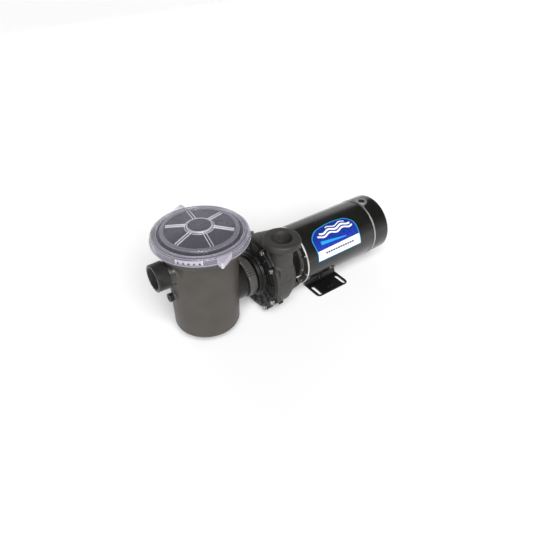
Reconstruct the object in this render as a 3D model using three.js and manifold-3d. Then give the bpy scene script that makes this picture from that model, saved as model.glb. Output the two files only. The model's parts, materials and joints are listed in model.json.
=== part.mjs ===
// Pool pump: strainer pot and union, volute with its impeller, and an electric motor on a slotted base.
// Millimetres. +Z up, +X from the strainer to the back of the motor, base underside at z = 0.
import * as THREE from 'three';
import { ConvexGeometry } from 'three/addons/geometries/ConvexGeometry.js';
import { mergeVertices } from 'three/addons/utils/BufferGeometryUtils.js';
import Module from 'manifold-3d';

const wasm = await Module();
wasm.setup();

// ---------------------------------------------------------------- driving dimensions
const SHAFT_HEIGHT = 88.9;        // base underside to shaft axis
const GAP = 0.3;                  // left between pieces that touch
const ROUND = 24;                 // sides of a large round
const HIDDEN = 16;                // sides of a large round inside the pump
const SMALL = 12;                 // sides of a small round

const POT_X = -189.3;             // strainer pot's upright axis
const POT_BOTTOM = 21.3;
const POT_RADIUS_LOW = 72.1;
const POT_RADIUS_HIGH = 75.3;
const POT_WALL = 4.5;
const POT_LEDGE = 222;            // height of the step that carries the basket
const POT_RIM = 243.7;            // height of the sealing rim
const POT_RIM_RADIUS = 93.2;
const POT_MOUTH_RADIUS = 84;

const LOCK_RING_RADIUS = 101;
const LOCK_RING_TOP = 252.3;
const LOCK_RING_BOTTOM = 236.9;
const LOCK_RING_OPENING = 89.2;
const TAB_REACH = 118;            // tip of each gripping tab from the pot's axis
const TAB_ANGLE = -99;            // degrees about the pot's axis, to the tip
const TAB_ROOT = [-3, 17];        // where the tab leaves the ring, from the tip's angle
const LUG_COUNT = 4;
const LUG_ANGLE = -132.5;
const LUG_SWEEP = 31;

const LID_RADIUS = 88;
const LID_TOP = 266.9;
const LID_RIB_COUNT = 6;
const LID_RIB_ANGLE = 20;

const INLET_END = -302.85;
const INLET_HEIGHT = 181.6;
const INLET_RADIUS = 30.15;       // 2 in pipe thread outside
const INLET_BORE = 22.2;          // 1.5 in pipe thread inside
const SUCTION_BORE = 21;
const OUTLET_BOSS = 43.5;         // pot's boss towards the union
const UNION_NUT = 47;             // over the nut's ribs
const PLUG_HEIGHT = 118;          // small threaded port under the inlet

const COVER_FACE = -64.65;        // front face of the volute cover along X
const COVER_RADIUS = 87;
const BOLT_CIRCLE = 87;
const BOLT_BOSS = 6.5;
const BOLT_ANGLES = [9, 63, 117, 146, 203, 234, 290, 329];     // closer together beside the discharge
const COVER_RIBS = 8;
const CASING_FRONT = -56.3;
const CASING_BACK = 41.2;
const CAVITY_BACK = -26;

const DISCHARGE_X = -28.9;
const DISCHARGE_Y = -60.5;
const DISCHARGE_TOP = 204.8;
const DISCHARGE_COLLAR = 42;
const DISCHARGE_PIPE = 25.5;
const DISCHARGE_BORE = 21.6;

const SCREW_CIRCLE = 62;          // screws that hold the casing's feet to the motor
const IMPELLER_RADIUS = 60;
const VANE_COUNT = 5;

const SHELL_RADIUS = 71;          // 142 mm motor frame
const SHELL_WALL = 1.4;
const SHELL_FRONT = 45.8;
const SHELL_BACK = 254.7;
const END_RING_RADIUS = 72.2;
const CAP_END = 302.85;
const CORE_FRONT = 95;
const CORE_BACK = 195;
const SHAFT_RADIUS = 8;
const BEARING_RADIUS = 20;
const BEARING_BORE = 8.5;
const CONDUIT_X = 268.85;

const BASE_X = 120.25;
const BASE_LENGTH = 97.2;
const BASE_HALF_WIDTH = 82.4;
const BASE_SHEET = 3.2;
const CRADLE_ARC = 19.5;          // degrees either side of straight down that the cradle wraps
const SLOT_PITCH_X = 76.2;        // 3 in between slots along the motor
const SLOT_PITCH_Y = 123.8;       // 4.875 in across it
const SLOT_LENGTH = 35;
const SLOT_WIDTH = 8.7;

// ---------------------------------------------------------------- materials
function material(color, roughness, metalness = 0) {
  return new THREE.MeshStandardMaterial({ color, roughness, metalness });
}

const potPlastic = material(0x4a4845, 0.5);
const casingPlastic = material(0x3b3937, 0.55);
const blackPlastic = material(0x1b1b1b, 0.5);
const basketPlastic = material(0x2a2a2c, 0.5);
const whitePlastic = material(0xd8d8d2, 0.5);
const clearPlastic = new THREE.MeshStandardMaterial({
  color: 0xc9c6d2, roughness: 0.12, transparent: true, opacity: 0.35,
});
const rubber = material(0x111111, 0.8);
const blackPaint = material(0x0d0d0d, 0.3);
const castAluminium = material(0xb9b9b6, 0.4, 1);
const steel = material(0xc4c4c2, 0.3, 1);
const coreSteel = material(0x5a5a5c, 0.5, 1);
const copper = material(0xa0522d, 0.45, 0.6);
const ceramic = material(0xe4e1d6, 0.35);
const printedLabel = material(0x1f3fa6, 0.35);

// ---------------------------------------------------------------- shape helpers
const degrees = THREE.MathUtils.degToRad;

// A closed geometry as a solid that can be joined and cut, with its faces pointing out.
function solid(geometry) {
  const bare = new THREE.BufferGeometry();
  bare.setAttribute('position', geometry.getAttribute('position').clone());
  if (geometry.index) bare.setIndex(geometry.index.clone());
  const merged = mergeVertices(bare, 1e-3);
  const corners = merged.index.array;
  const kept = [];
  for (let i = 0; i < corners.length; i += 3) {
    const [a, b, c] = corners.slice(i, i + 3);
    if (a !== b && b !== c && c !== a) kept.push(a, b, c);
  }
  const vertProperties = Float32Array.from(merged.getAttribute('position').array);
  const build = (triVerts) => new wasm.Manifold(new wasm.Mesh({ numProp: 3, vertProperties, triVerts }));
  const body = build(Uint32Array.from(kept));
  return body.volume() > 0 ? body : build(Uint32Array.from(kept).reverse());
}

function geometryOf(body) {
  const { vertProperties, triVerts } = body.getMesh();
  const geometry = new THREE.BufferGeometry();
  geometry.setAttribute('position', new THREE.BufferAttribute(vertProperties, 3));
  geometry.setIndex(new THREE.BufferAttribute(triVerts, 1));
  geometry.computeVertexNormals();
  return geometry;
}

function joined(...shapes) {
  return geometryOf(shapes.map(solid).reduce((all, next) => all.add(next)));
}

function cut(shape, ...tools) {
  return geometryOf(tools.map(solid).reduce((left, tool) => left.subtract(tool), solid(shape)));
}

function overlap(shape, other) {
  return geometryOf(solid(shape).intersect(solid(other)));
}

// A profile of [radius, height] points turned about +Z. One that leaves the axis closes on itself.
function turned(points, sides = ROUND) {
  const closed = points[0][0] === 0 ? points : [...points, points[0]];
  const profile = closed.map(([radius, height]) => new THREE.Vector2(radius, height));
  return new THREE.LatheGeometry(profile, sides).rotateX(Math.PI / 2);
}

function disc(radius, low, high, sides = ROUND) {
  return turned([[0, low], [radius, low], [radius, high], [0, high]], sides);
}

function ring(inner, outer, low, high, sides = ROUND) {
  return turned([[inner, low], [outer, low], [outer, high], [inner, high]], sides);
}

// An outline of [x, y] points raised from one height to another.
function prism(points, low, high) {
  const shape = new THREE.Shape(points.map(([x, y]) => new THREE.Vector2(x, y)));
  const geometry = new THREE.ExtrudeGeometry(shape, { depth: high - low, bevelEnabled: false });
  return geometry.translate(0, 0, low);
}

function block(low, high) {
  const size = high.map((value, i) => value - low[i]);
  const centre = high.map((value, i) => (value + low[i]) / 2);
  return new THREE.BoxGeometry(...size).translate(...centre);
}

function polar(radius, angle) {
  return [radius * Math.cos(degrees(angle)), radius * Math.sin(degrees(angle))];
}

// A pie slice of angles [from, to] in degrees, used to keep part of a ring.
function slice(radius, from, to, low, high) {
  const steps = Math.max(2, Math.ceil((to - from) / 20));
  const rim = Array.from({ length: steps + 1 }, (_, i) => polar(radius, from + ((to - from) * i) / steps));
  return prism([[0, 0], ...rim], low, high);
}

function around(count, start, make) {
  return Array.from({ length: count }, (_, i) => make(start + (360 * i) / count, i));
}

function spun(geometry, angle) {
  return geometry.rotateZ(degrees(angle));
}

function hexagon(acrossFlats, low, high) {
  return spun(disc(acrossFlats / Math.sqrt(3), low, high, 6), 30);
}

// A rubber ring with a six-sided section.
function oRing(radius, thickness, middle, sides = HIDDEN) {
  const section = around(6, 0, (angle) => {
    const [across, up] = polar(thickness / 2, angle);
    return [radius + across, middle + up];
  });
  return turned(section, sides);
}

function piece(name, geometry, look) {
  const mesh = new THREE.Mesh(joined(geometry), look);
  mesh.name = name;
  return mesh;
}

// ---------------------------------------------------------------- strainer, about the pot's upright axis
const outletShift = -POT_X;       // from the pot's axis to x = 0
const alongMinusX = (geometry) => geometry.rotateY(-Math.PI / 2);
const alongPlusX = (geometry) => geometry.rotateY(Math.PI / 2);

// The lugs on the pot's rim and in the lock ring.
function lugs(inner, outer, low, high) {
  return around(LUG_COUNT, LUG_ANGLE, (angle) => overlap(
    ring(inner, outer, low, high),
    slice(outer + 20, angle - LUG_SWEEP / 2, angle + LUG_SWEEP / 2, low - 1, high + 1),
  ));
}

function strainerPot() {
  const floor = POT_BOTTOM + POT_WALL;
  const outside = turned([
    [0, POT_BOTTOM], [POT_RADIUS_LOW - 4, POT_BOTTOM], [POT_RADIUS_LOW, POT_BOTTOM + 4],
    [POT_RADIUS_HIGH, 208], [POT_RIM_RADIUS - 3, 220], [POT_RIM_RADIUS, 224],
    [POT_RIM_RADIUS, POT_RIM], [0, POT_RIM],
  ]);
  const inside = turned([
    [0, floor], [POT_RADIUS_LOW - POT_WALL, floor], [POT_RADIUS_HIGH - POT_WALL, 212],
    [POT_RADIUS_HIGH - POT_WALL, POT_LEDGE], [POT_MOUTH_RADIUS, POT_LEDGE],
    [POT_MOUTH_RADIUS, POT_RIM + 1], [0, POT_RIM + 1],
  ]);
  const inletLength = POT_X - INLET_END;
  const inlet = alongMinusX(turned([
    [0, 68], [31, 68], [31, 75], [27, 79], [27, inletLength - 27], [INLET_RADIUS, inletLength - 26],
    [INLET_RADIUS, inletLength - 1.5], [INLET_RADIUS - 1.5, inletLength], [0, inletLength],
  ], HIDDEN)).translate(0, 0, INLET_HEIGHT);
  const inletBore = alongMinusX(turned([
    [0, 60], [SUCTION_BORE, 60], [SUCTION_BORE, inletLength - 22], [INLET_BORE, inletLength - 21],
    [INLET_BORE, inletLength + 1], [0, inletLength + 1],
  ], HIDDEN)).translate(0, 0, INLET_HEIGHT);
  const outlet = alongPlusX(turned([
    [0, 66], [OUTLET_BOSS, 66], [OUTLET_BOSS, outletShift - 105], [40, outletShift - 105],
    [40, outletShift - 92], [0, outletShift - 92],
  ])).translate(0, 0, SHAFT_HEIGHT);
  const outletBore = alongPlusX(disc(SUCTION_BORE, 50, outletShift, HIDDEN)).translate(0, 0, SHAFT_HEIGHT);
  const sealSeat = alongPlusX(ring(24.5, 30.5, outletShift - 94, outletShift - 91, HIDDEN))
    .translate(0, 0, SHAFT_HEIGHT);
  const portBoss = alongMinusX(disc(10.5, 66, 77, SMALL)).translate(0, 0, PLUG_HEIGHT);
  const portHole = alongMinusX(disc(5.4, 60, 80, SMALL)).translate(0, 0, PLUG_HEIGHT);
  const gusset = block([-76.5, -2.5, PLUG_HEIGHT], [-70, 2.5, INLET_HEIGHT - 25]);
  const groove = ring(86.8, 91.2, 240.5, POT_RIM + 1);
  const rimLugs = lugs(POT_RIM_RADIUS - 1, 96.4, 240.3, POT_RIM);
  const body = joined(outside, inlet, outlet, portBoss, gusset, ...rimLugs);
  return cut(body, inside, inletBore, outletBore, sealSeat, portHole, groove);
}

// A round plug with a recess for a square key in its head.
function potPlug() {
  const plug = joined(disc(5, 71, 80, SMALL), disc(9.5, 79.2, 86.5, SMALL));
  return alongMinusX(cut(plug, block([-3.4, -3.4, 81], [3.4, 3.4, 90]))).translate(0, 0, PLUG_HEIGHT);
}

const BASKET_BOTTOM = 32;
const BASKET_RIM = 225.3;
const BASKET_SLOTS = 10;
const BAIL_HEIGHT = 229.6;        // the hoop's pivot
const BAIL_RADIUS = 69;

function basket() {
  const shell = turned([
    [0, BASKET_BOTTOM], [59, BASKET_BOTTOM], [61, BASKET_BOTTOM + 2], [68.3, POT_LEDGE + GAP],
    [82.5, POT_LEDGE + GAP], [82.5, BASKET_RIM], [66, BASKET_RIM], [58.5, BASKET_BOTTOM + 2.5],
    [0, BASKET_BOTTOM + 2.5],
  ]);
  const slots = [50, 132].flatMap((low) => around(BASKET_SLOTS, 18, (angle) => (
    spun(block([50, -7, low], [75, 7, low + 66]), angle)
  )));
  const inletHole = alongMinusX(disc(25, 40, 80, SMALL)).translate(0, 0, INLET_HEIGHT);
  const floorHoles = around(6, 0, (angle) => spun(block([18, -4, 20], [50, 4, 40]), angle));
  const ears = [-1, 1].map((side) => {
    const ear = block([-6, 73, BASKET_RIM - 0.5], [6, 78, BASKET_RIM + 8.5]);
    return side > 0 ? ear : ear.rotateZ(Math.PI);
  });
  const eyes = new THREE.CylinderGeometry(3, 3, 170, 12).translate(0, 0, BAIL_HEIGHT);
  return cut(joined(shell, ...ears), ...slots, inletHole, ...floorHoles, eyes);
}

// A half hoop lying towards +X, with a pivot pin at each end along Y.
function basketHandle() {
  const section = new THREE.Shape(around(8, 22.5, (angle) => new THREE.Vector2(...polar(2.2, angle))));
  const hoop = new THREE.CatmullRomCurve3(Array.from({ length: 13 }, (_, i) => {
    const [x, y] = polar(BAIL_RADIUS, -90 + 15 * i);
    return new THREE.Vector3(x, y, 0);
  }));
  const bow = new THREE.ExtrudeGeometry(section, { steps: 14, extrudePath: hoop });
  const pins = [-1, 1].map((side) => (
    new THREE.CylinderGeometry(2.2, 2.2, 12, 8).translate(0, side * (BAIL_RADIUS + 4), 0)
  ));
  return joined(bow, ...pins).translate(0, 0, BAIL_HEIGHT);
}

function lid() {
  const shell = turned([
    [0, LID_TOP], [26, LID_TOP - 0.6], [28, LID_TOP - 2], [55, LID_TOP - 4.2], [80.5, 258.9],
    [LID_RADIUS, 252.6], [LID_RADIUS, 247.2], [96.2, 247.2], [96.2, POT_RIM + GAP],
    [83.4, POT_RIM + GAP], [83.4, 236.5], [79.4, 236.5], [79.4, 252], [77, 255.2],
    [55, LID_TOP - 8], [24, LID_TOP - 4.6], [0, LID_TOP - 4.3],
  ]);
  const ribs = around(LID_RIB_COUNT, LID_RIB_ANGLE, (angle) => spun(
    prism([[26, 258.5], [76, 252.4], [76, 257], [26, 263.5]], -2.5, 2.5).rotateX(Math.PI / 2),
    angle,
  ));
  return joined(shell, ...ribs);
}

// A fin-shaped grip on the lock ring's edge, leaning to one side, its top sloping a little to the tip.
function grippingTab() {
  const root = LOCK_RING_RADIUS - 2.5;
  const plan = [
    [...polar(root, TAB_ROOT[0]), LOCK_RING_TOP - 1], [...polar(root, TAB_ROOT[1]), LOCK_RING_TOP - 1],
    [...polar(TAB_REACH, -0.8), LOCK_RING_TOP - 3], [...polar(TAB_REACH, 0.8), LOCK_RING_TOP - 3],
  ];
  const corners = plan.flatMap(([x, y, top]) => [[x, y, top], [x, y, LOCK_RING_BOTTOM]]);
  return new ConvexGeometry(corners.map((corner) => new THREE.Vector3(...corner)));
}

function lockRing() {
  const rim = turned([
    [LOCK_RING_OPENING, 247.5], [97.6, 247.5], [97.6, LOCK_RING_BOTTOM], [LOCK_RING_RADIUS, LOCK_RING_BOTTOM],
    [LOCK_RING_RADIUS, LOCK_RING_TOP - 2], [LOCK_RING_RADIUS - 2, LOCK_RING_TOP],
    [LOCK_RING_OPENING + 1, LOCK_RING_TOP], [LOCK_RING_OPENING, LOCK_RING_TOP - 1],
  ]);
  const tabs = [TAB_ANGLE, TAB_ANGLE + 180].map((angle) => spun(grippingTab(), angle));
  return joined(rim, ...tabs, ...lugs(94.4, 98, LOCK_RING_BOTTOM, LOCK_RING_BOTTOM + 3));
}

const strainer = new THREE.Group();
strainer.position.x = POT_X;
strainer.add(
  piece('strainer_pot', strainerPot(), potPlastic),
  piece('strainer_basket', basket(), basketPlastic),
  piece('basket_handle', basketHandle(), basketPlastic),
  piece('lid', lid(), clearPlastic),
  piece('lid_o_ring', oRing(89, 3, 242.2, ROUND), rubber),
  piece('lock_ring', lockRing(), clearPlastic),
  piece('pot_plug', potPlug(), blackPlastic),
  piece('pot_plug_o_ring', alongMinusX(ring(5.4, 7.8, 77.3, 78.9, SMALL))
    .translate(0, 0, PLUG_HEIGHT), rubber),
);

// ---------------------------------------------------------------- wet end, about the shaft
// Here local z is the distance along X, and a local angle runs from +Y towards +Z.

const isBlind = (angle) => angle > 110 && angle < 210;     // these end in the wall of the discharge body
const boltEnd = (angle) => (isBlind(angle) ? -50.7 : -34);

function unionNut() {
  const ribs = 48;
  const outline = Array.from({ length: ribs }, (_, i) => polar(UNION_NUT - (i % 2) * 1.6, (360 / ribs) * i));
  const bore = turned([[0, -106], [40.6, -106], [40.6, -84.1], [34.2, -84.1], [34.2, -79], [0, -79]]);
  return cut(prism(outline, -104.6, -80.2), bore);
}

function unionTailpiece() {
  return turned([
    [SUCTION_BORE, -91.4], [39.8, -91.4], [39.8, -84.4], [33.4, -84.4], [33.4, -60.7], [SUCTION_BORE, -60.7],
  ]);
}

function boltHoles(low) {
  return BOLT_ANGLES.map((angle) => (
    disc(3.6, low, boltEnd(angle) + 0.7, 6).translate(...polar(BOLT_CIRCLE, angle), 0)
  ));
}

function bosses(low, high) {
  return BOLT_ANGLES.map((angle) => (
    disc(BOLT_BOSS, low, high, 12).translate(...polar(BOLT_CIRCLE, angle), 0)
  ));
}

function voluteCover() {
  const plate = turned([
    [33.8, -78], [48, -78], [50, -76], [50, -71], [54.5, -70], [55.5, COVER_FACE],
    [COVER_RADIUS - 1.5, COVER_FACE], [COVER_RADIUS, COVER_FACE + 1.5], [COVER_RADIUS, CASING_FRONT - GAP],
    [76, CASING_FRONT - GAP], [76, -54], [27, -54], [27, -57.3], [SUCTION_BORE, -57.3],
    [SUCTION_BORE, -60.3], [33.8, -60.3],
  ]);
  const ribs = around(COVER_RIBS, 38.5, (angle) => (
    spun(block([54, -2, COVER_FACE - 3], [80, 2, COVER_FACE + 1]), angle)
  ));
  return cut(joined(plate, ...ribs, ...bosses(COVER_FACE, CASING_FRONT - GAP)), ...boltHoles(-70));
}

// The cavity widens from the tongue round to the discharge.
function voluteCavity() {
  const outline = Array.from({ length: 17 }, (_, i) => {
    const turn = i / 16;
    return polar(64 + 15 * turn, 140 - 320 * turn);
  });
  return prism(outline.reverse(), -57, CAVITY_BACK);
}

// The bracket is open on both sides, between a web over the shaft and a wider one under it.
const WEB_OVER = [60, 120];
const WEB_UNDER = [230, 300];
const SCREW_ANGLES = [70, 105, 250, 285];

function bracketWindows() {
  return [
    slice(120, WEB_OVER[1], WEB_UNDER[0], 0, 50),
    slice(120, WEB_UNDER[1] - 360, WEB_OVER[0], -14, 50),
  ];
}

function voluteCasing() {
  const body = turned([
    [0, CASING_FRONT], [COVER_RADIUS, CASING_FRONT], [COVER_RADIUS, -46], [82, -45], [82, -22],
    [72.4, CASING_BACK], [64.5, CASING_BACK], [64.5, -12], [60, -18], [0, -18],
  ]);
  const feet = SCREW_ANGLES.map((angle) => spun(block([56, -9, 33], [69, 9, CASING_BACK]), angle));
  const bulge = overlap(disc(88, -50, -16), block([-95, -55, -60], [-25, 12, 0]));
  const throat = prism([
    [-60, -30], [-60, 51], [-80, 51], [-85.5, 45], [-85.5, -10], [-82, -30],
  ], -49, -15);
  const top = DISCHARGE_TOP - SHAFT_HEIGHT;
  const pipe = turned([
    [0, 0], [DISCHARGE_PIPE, 0], [DISCHARGE_PIPE, 90], [DISCHARGE_COLLAR, 101], [DISCHARGE_COLLAR, top - 5],
    [DISCHARGE_COLLAR - 2, top - 1.5], [DISCHARGE_COLLAR - 6, top], [0, top],
  ]);
  const bore = disc(DISCHARGE_BORE, 2, top + 2, ROUND);
  const upright = (geometry) => geometry.rotateX(-Math.PI / 2).translate(DISCHARGE_Y, 0, DISCHARGE_X);
  const drainBoss = voluteDrain(disc(9, 76, 85.5, SMALL));
  const drainHole = voluteDrain(disc(5.2, 70, 86, SMALL));
  const footHoles = SCREW_ANGLES.map((angle) => joined(
    disc(3.2, 30, 45, 6), disc(6.2, 8, 33, 8),
  ).translate(...polar(SCREW_CIRCLE, angle), 0));
  const whole = joined(
    cut(body, ...bracketWindows()), ...feet, bulge, throat, upright(pipe), drainBoss, ...bosses(CASING_FRONT, -46),
  );
  const nutRoom = BOLT_ANGLES.filter((angle) => !isBlind(angle))
    .map((angle) => disc(7.4, -46, -37, 8).translate(...polar(BOLT_CIRCLE, angle), 0));
  return cut(
    whole, voluteCavity(), upright(bore), ring(60, 110, -70, CASING_FRONT),
    disc(76.5, -57, -53.6), ring(77.8, 80.6, -57, -54.2), disc(19, -30, -15, SMALL), drainHole,
    ...footHoles, ...boltHoles(-57), ...nutRoom,
  );
}

const DRAIN_ANGLE = 232;

function voluteDrain(geometry) {
  const outward = spun(geometry.rotateY(Math.PI / 2), DRAIN_ANGLE);
  return outward.translate(0, 0, -25);
}

function coverBolt(angle) {
  const parts = [hexagon(10, -70.2, COVER_FACE - GAP), disc(2.9, -66, boltEnd(angle), 6)];
  if (!isBlind(angle)) parts.push(hexagon(10, -45.6, -39));
  return joined(...parts).translate(...polar(BOLT_CIRCLE, angle), 0);
}

function impeller() {
  const back = turned([[0, -50], [13, -47], [15, -41], [IMPELLER_RADIUS, -40],
    [IMPELLER_RADIUS, -37.5], [13, -37.5], [13, -36.4], [0, -36.4]], HIDDEN);
  const front = turned([[22, -56.4], [24.2, -56.4], [24.2, -52.6], [IMPELLER_RADIUS, -50],
    [IMPELLER_RADIUS, -48], [22, -51]], HIDDEN);
  const vanes = around(VANE_COUNT, 0, (start) => {
    const path = Array.from({ length: 4 }, (_, i) => [22 + 12 * i, start + 20 * i]);
    const outer = path.map(([radius, angle]) => polar(radius, angle + 70 / radius));
    const inner = path.map(([radius, angle]) => polar(radius, angle - 70 / radius));
    return prism([...inner, ...outer.reverse()], -50.5, -39);
  });
  return cut(joined(back, front, ...vanes), disc(8.4, -47, -36, SMALL));
}

const wetEnd = new THREE.Group();
wetEnd.position.z = SHAFT_HEIGHT;
wetEnd.rotation.set(Math.PI / 2, Math.PI / 2, 0);
wetEnd.add(
  piece('union_nut', unionNut(), blackPlastic),
  piece('union_tailpiece', unionTailpiece(), blackPlastic),
  piece('union_o_ring', oRing(27.5, 2, -92.8), rubber),
  piece('volute_cover', voluteCover(), blackPlastic),
  piece('casing_o_ring', oRing(79.2, 1.8, -55.3, ROUND), rubber),
  piece('volute_casing', voluteCasing(), casingPlastic),
  ...BOLT_ANGLES.map((angle, i) => piece(`cover_bolt_${i + 1}`, coverBolt(angle), steel)),
  piece('wear_ring', ring(24.9, 26.6, -57, -54.2, HIDDEN), whitePlastic),
  piece('impeller', impeller(), whitePlastic),
  piece('seal_rotary', turned([[8.5, -36], [13, -36], [15.5, -34], [15.5, -29], [13, -26.3], [8.5, -26.3]],
    SMALL), rubber),
  piece('seal_seat', ring(9.6, 18.5, -25.9, -18.4, SMALL), ceramic),
  piece('volute_drain_plug', voluteDrain(joined(disc(4.8, 75, 88, SMALL), disc(7.5, 87, 91, SMALL),
    block([-6, -1.8, 90], [6, 1.8, 95]))), blackPlastic),
  piece('volute_drain_o_ring', voluteDrain(ring(5.2, 7.2, 85.8, 86.7, SMALL)), rubber),
  piece('shaft_slinger', turned([[8.5, 8], [12, 8], [12, 12], [24, 13], [24, 15], [8.5, 15]], SMALL), rubber),
);

// ---------------------------------------------------------------- motor, about the shaft
const throughBolts = around(4, 40, (angle) => angle);
const THROUGH_BOLT_CIRCLE = 65;

function frontEndBell() {
  const casting = turned([
    [9.6, 38], [46, 39], [47, 35], [53, 35], [53, 41.5], [END_RING_RADIUS, 41.5],
    [END_RING_RADIUS, SHELL_FRONT - GAP], [69.2, SHELL_FRONT - GAP], [69.2, 52], [61, 46],
    [27, 45.5], [25, 55], [20.4, 55], [20.4, 42.4], [9.6, 42.4],
  ]);
  const screwHoles = SCREW_ANGLES.map((angle) => (
    disc(3.2, 30, 60, 6).translate(...polar(SCREW_CIRCLE, angle), 0)
  ));
  const tieHoles = throughBolts.map((angle) => (
    disc(2.9, 30, 60, 6).translate(...polar(THROUGH_BOLT_CIRCLE, angle), 0)
  ));
  return cut(casting, ...screwHoles, ...tieHoles);
}

function rearEndBell() {
  const casting = turned([
    [11.6, 259], [20.4, 259], [20.4, 276], [25, 276], [27, 259.5],
    [END_RING_RADIUS, 259], [END_RING_RADIUS, SHELL_BACK + GAP],
    [69.2, SHELL_BACK + GAP], [69.2, 250], [62, 255], [11.6, 256],
  ]);
  const boss = disc(12.8, 52, 73.6, SMALL).rotateX(-Math.PI / 2).translate(0, 0, CONDUIT_X);
  const bridge = block([-9, 52, 257], [9, 70, CONDUIT_X]);
  const hole = disc(8.3, 45, 80, SMALL).rotateX(-Math.PI / 2).translate(0, 0, CONDUIT_X);
  const holes = throughBolts.map((angle) => (
    disc(2.9, 240, 280, 6).translate(...polar(THROUGH_BOLT_CIRCLE, angle), 0)
  ));
  return cut(joined(casting, boss, bridge), hole, ...holes);
}

function endCap() {
  const canopy = turned([
    [70, 259.4], [71.4, 259.4], [71.4, 298.5], [69.5, CAP_END], [0, CAP_END], [0, CAP_END - 1.6],
    [68.4, CAP_END - 1.6], [70, 298],
  ].reverse());
  const notch = block([-13.4, 50, 250], [13.4, 80, CONDUIT_X]);
  const notchEnd = disc(13.4, 50, 80, SMALL).rotateX(-Math.PI / 2).translate(0, 0, CONDUIT_X);
  const vents = [-1, 0, 1].map((i) => block([-16, -44 + 9 * i, 290], [16, -40 + 9 * i, 310]));
  return cut(canopy, notch, notchEnd, ...vents);
}

function motorShaft() {
  return turned([
    [0, -46.6], [7, -46.6], [SHAFT_RADIUS, -45.6], [SHAFT_RADIUS, 56], [11, 56], [11, 260],
    [SHAFT_RADIUS, 260], [SHAFT_RADIUS, 278], [7, 279], [0, 279],
  ], SMALL);
}

function rotorCore() {
  const body = turned([
    [11.4, CORE_FRONT], [26, CORE_FRONT], [26, CORE_FRONT - 8], [36, CORE_FRONT - 8], [37.8, CORE_FRONT],
    [37.8, CORE_BACK], [36, CORE_BACK + 8], [26, CORE_BACK + 8], [26, CORE_BACK], [11.4, CORE_BACK],
  ], HIDDEN);
  const fins = around(6, 0, (angle) => spun(block([27, -1, CORE_BACK + 7], [35, 1, CORE_BACK + 16]), angle));
  return joined(body, ...fins);
}

function statorCore() {
  const stack = ring(39, 68.6, CORE_FRONT, CORE_BACK, ROUND);
  const slots = around(12, 15, (angle) => spun(block([37, -4, 90], [54, 4, 200]), angle));
  const grooves = throughBolts.map((angle) => (
    spun(block([THROUGH_BOLT_CIRCLE - 3.2, -3.2, 90], [75, 3.2, 200]), angle)
  ));
  return cut(stack, ...slots, ...grooves);
}

function windingEnd(low, high) {
  const middle = (low + high) / 2;
  return turned([[43, low], [58, low], [60.5, middle], [58, high], [43, high], [41, middle]], HIDDEN);
}

function bearingOuter(low) {
  return turned([
    [16.6, low], [BEARING_RADIUS, low], [BEARING_RADIUS, low + 12], [16.6, low + 12],
    [16.6, low + 9], [17.4, low + 6], [16.6, low + 3],
  ], SMALL);
}

function bearingInner(low) {
  return turned([
    [BEARING_BORE, low], [11.8, low], [11.8, low + 3], [11, low + 6], [11.8, low + 9],
    [11.8, low + 12], [BEARING_BORE, low + 12],
  ], SMALL);
}

function bearingBalls(low) {
  const cage = ring(13.4, 15, low + 4.5, low + 7.5, SMALL);
  const balls = around(6, 15, (angle) => (
    new THREE.OctahedronGeometry(2.3).translate(...polar(14.1, angle), low + 6)
  ));
  return joined(cage, ...balls);
}

function throughBolt(angle) {
  return joined(disc(2.3, 38, 262, 6), hexagon(7, 260.8, 264.5))
    .translate(...polar(THROUGH_BOLT_CIRCLE, angle), 0);
}

function bracketScrew(angle) {
  return joined(disc(2.6, 30, 50, 6), hexagon(9, 27.5, 32.7))
    .translate(...polar(SCREW_CIRCLE, angle), 0);
}

function governor() {
  const collar = turned([[11.4, 222], [18, 222], [18, 228], [26, 229], [26, 233], [11.4, 233]], SMALL);
  const weights = [0, 180].map((angle) => spun(block([15, -7, 214], [24, 7, 226]), angle));
  return joined(collar, ...weights);
}

function switchPlate() {
  const board = overlap(ring(14, 58, 243, 246), block([-40, 2, 240], [40, 58, 250]));
  const arm = block([-4, 30, 238], [4, 48, 244]);
  return joined(board, arm);
}

// A cylinder lying across the motor under the shaft, inside the canopy.
const CAPACITOR = { up: -44, along: 282, radius: 14.5, half: 32 };

function acrossMotor(geometry) {
  return geometry.rotateY(Math.PI / 2).translate(0, CAPACITOR.up, CAPACITOR.along);
}

function conduitPlug() {
  const slot = block([-5, -0.8, 72], [5, 0.8, 75]);
  return cut(disc(8, 62, 73.2, SMALL), slot).rotateX(-Math.PI / 2).translate(0, 0, CONDUIT_X);
}

function capacitor() {
  return acrossMotor(disc(CAPACITOR.radius, -CAPACITOR.half, CAPACITOR.half, SMALL));
}

function capacitorStrap() {
  const band = acrossMotor(ring(CAPACITOR.radius + GAP, CAPACITOR.radius + 1.6, -5, 5, SMALL));
  const reach = CAPACITOR.along - CAPACITOR.radius - 1;
  const leg = block([-5, CAPACITOR.up - 6, 261.2], [5, CAPACITOR.up + 6, reach]);
  return joined(band, leg);
}

function label() {
  const skin = ring(SHELL_RADIUS + 0.35, SHELL_RADIUS + 0.9, 60, 220);
  // The outline is drawn with x along the motor and y up, and pressed through from the -Y side.
  const outline = [
    [72.9, 6], [208.3, 12], [204.5, 44], [198, 60], [170, 66.5], [124, 65.5], [92, 61],
    [78, 52], [73, 42], [76.5, 30],
  ];
  const stamp = prism(outline, 0, 90).rotateY(-Math.PI / 2);
  return overlap(skin, stamp);
}

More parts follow.
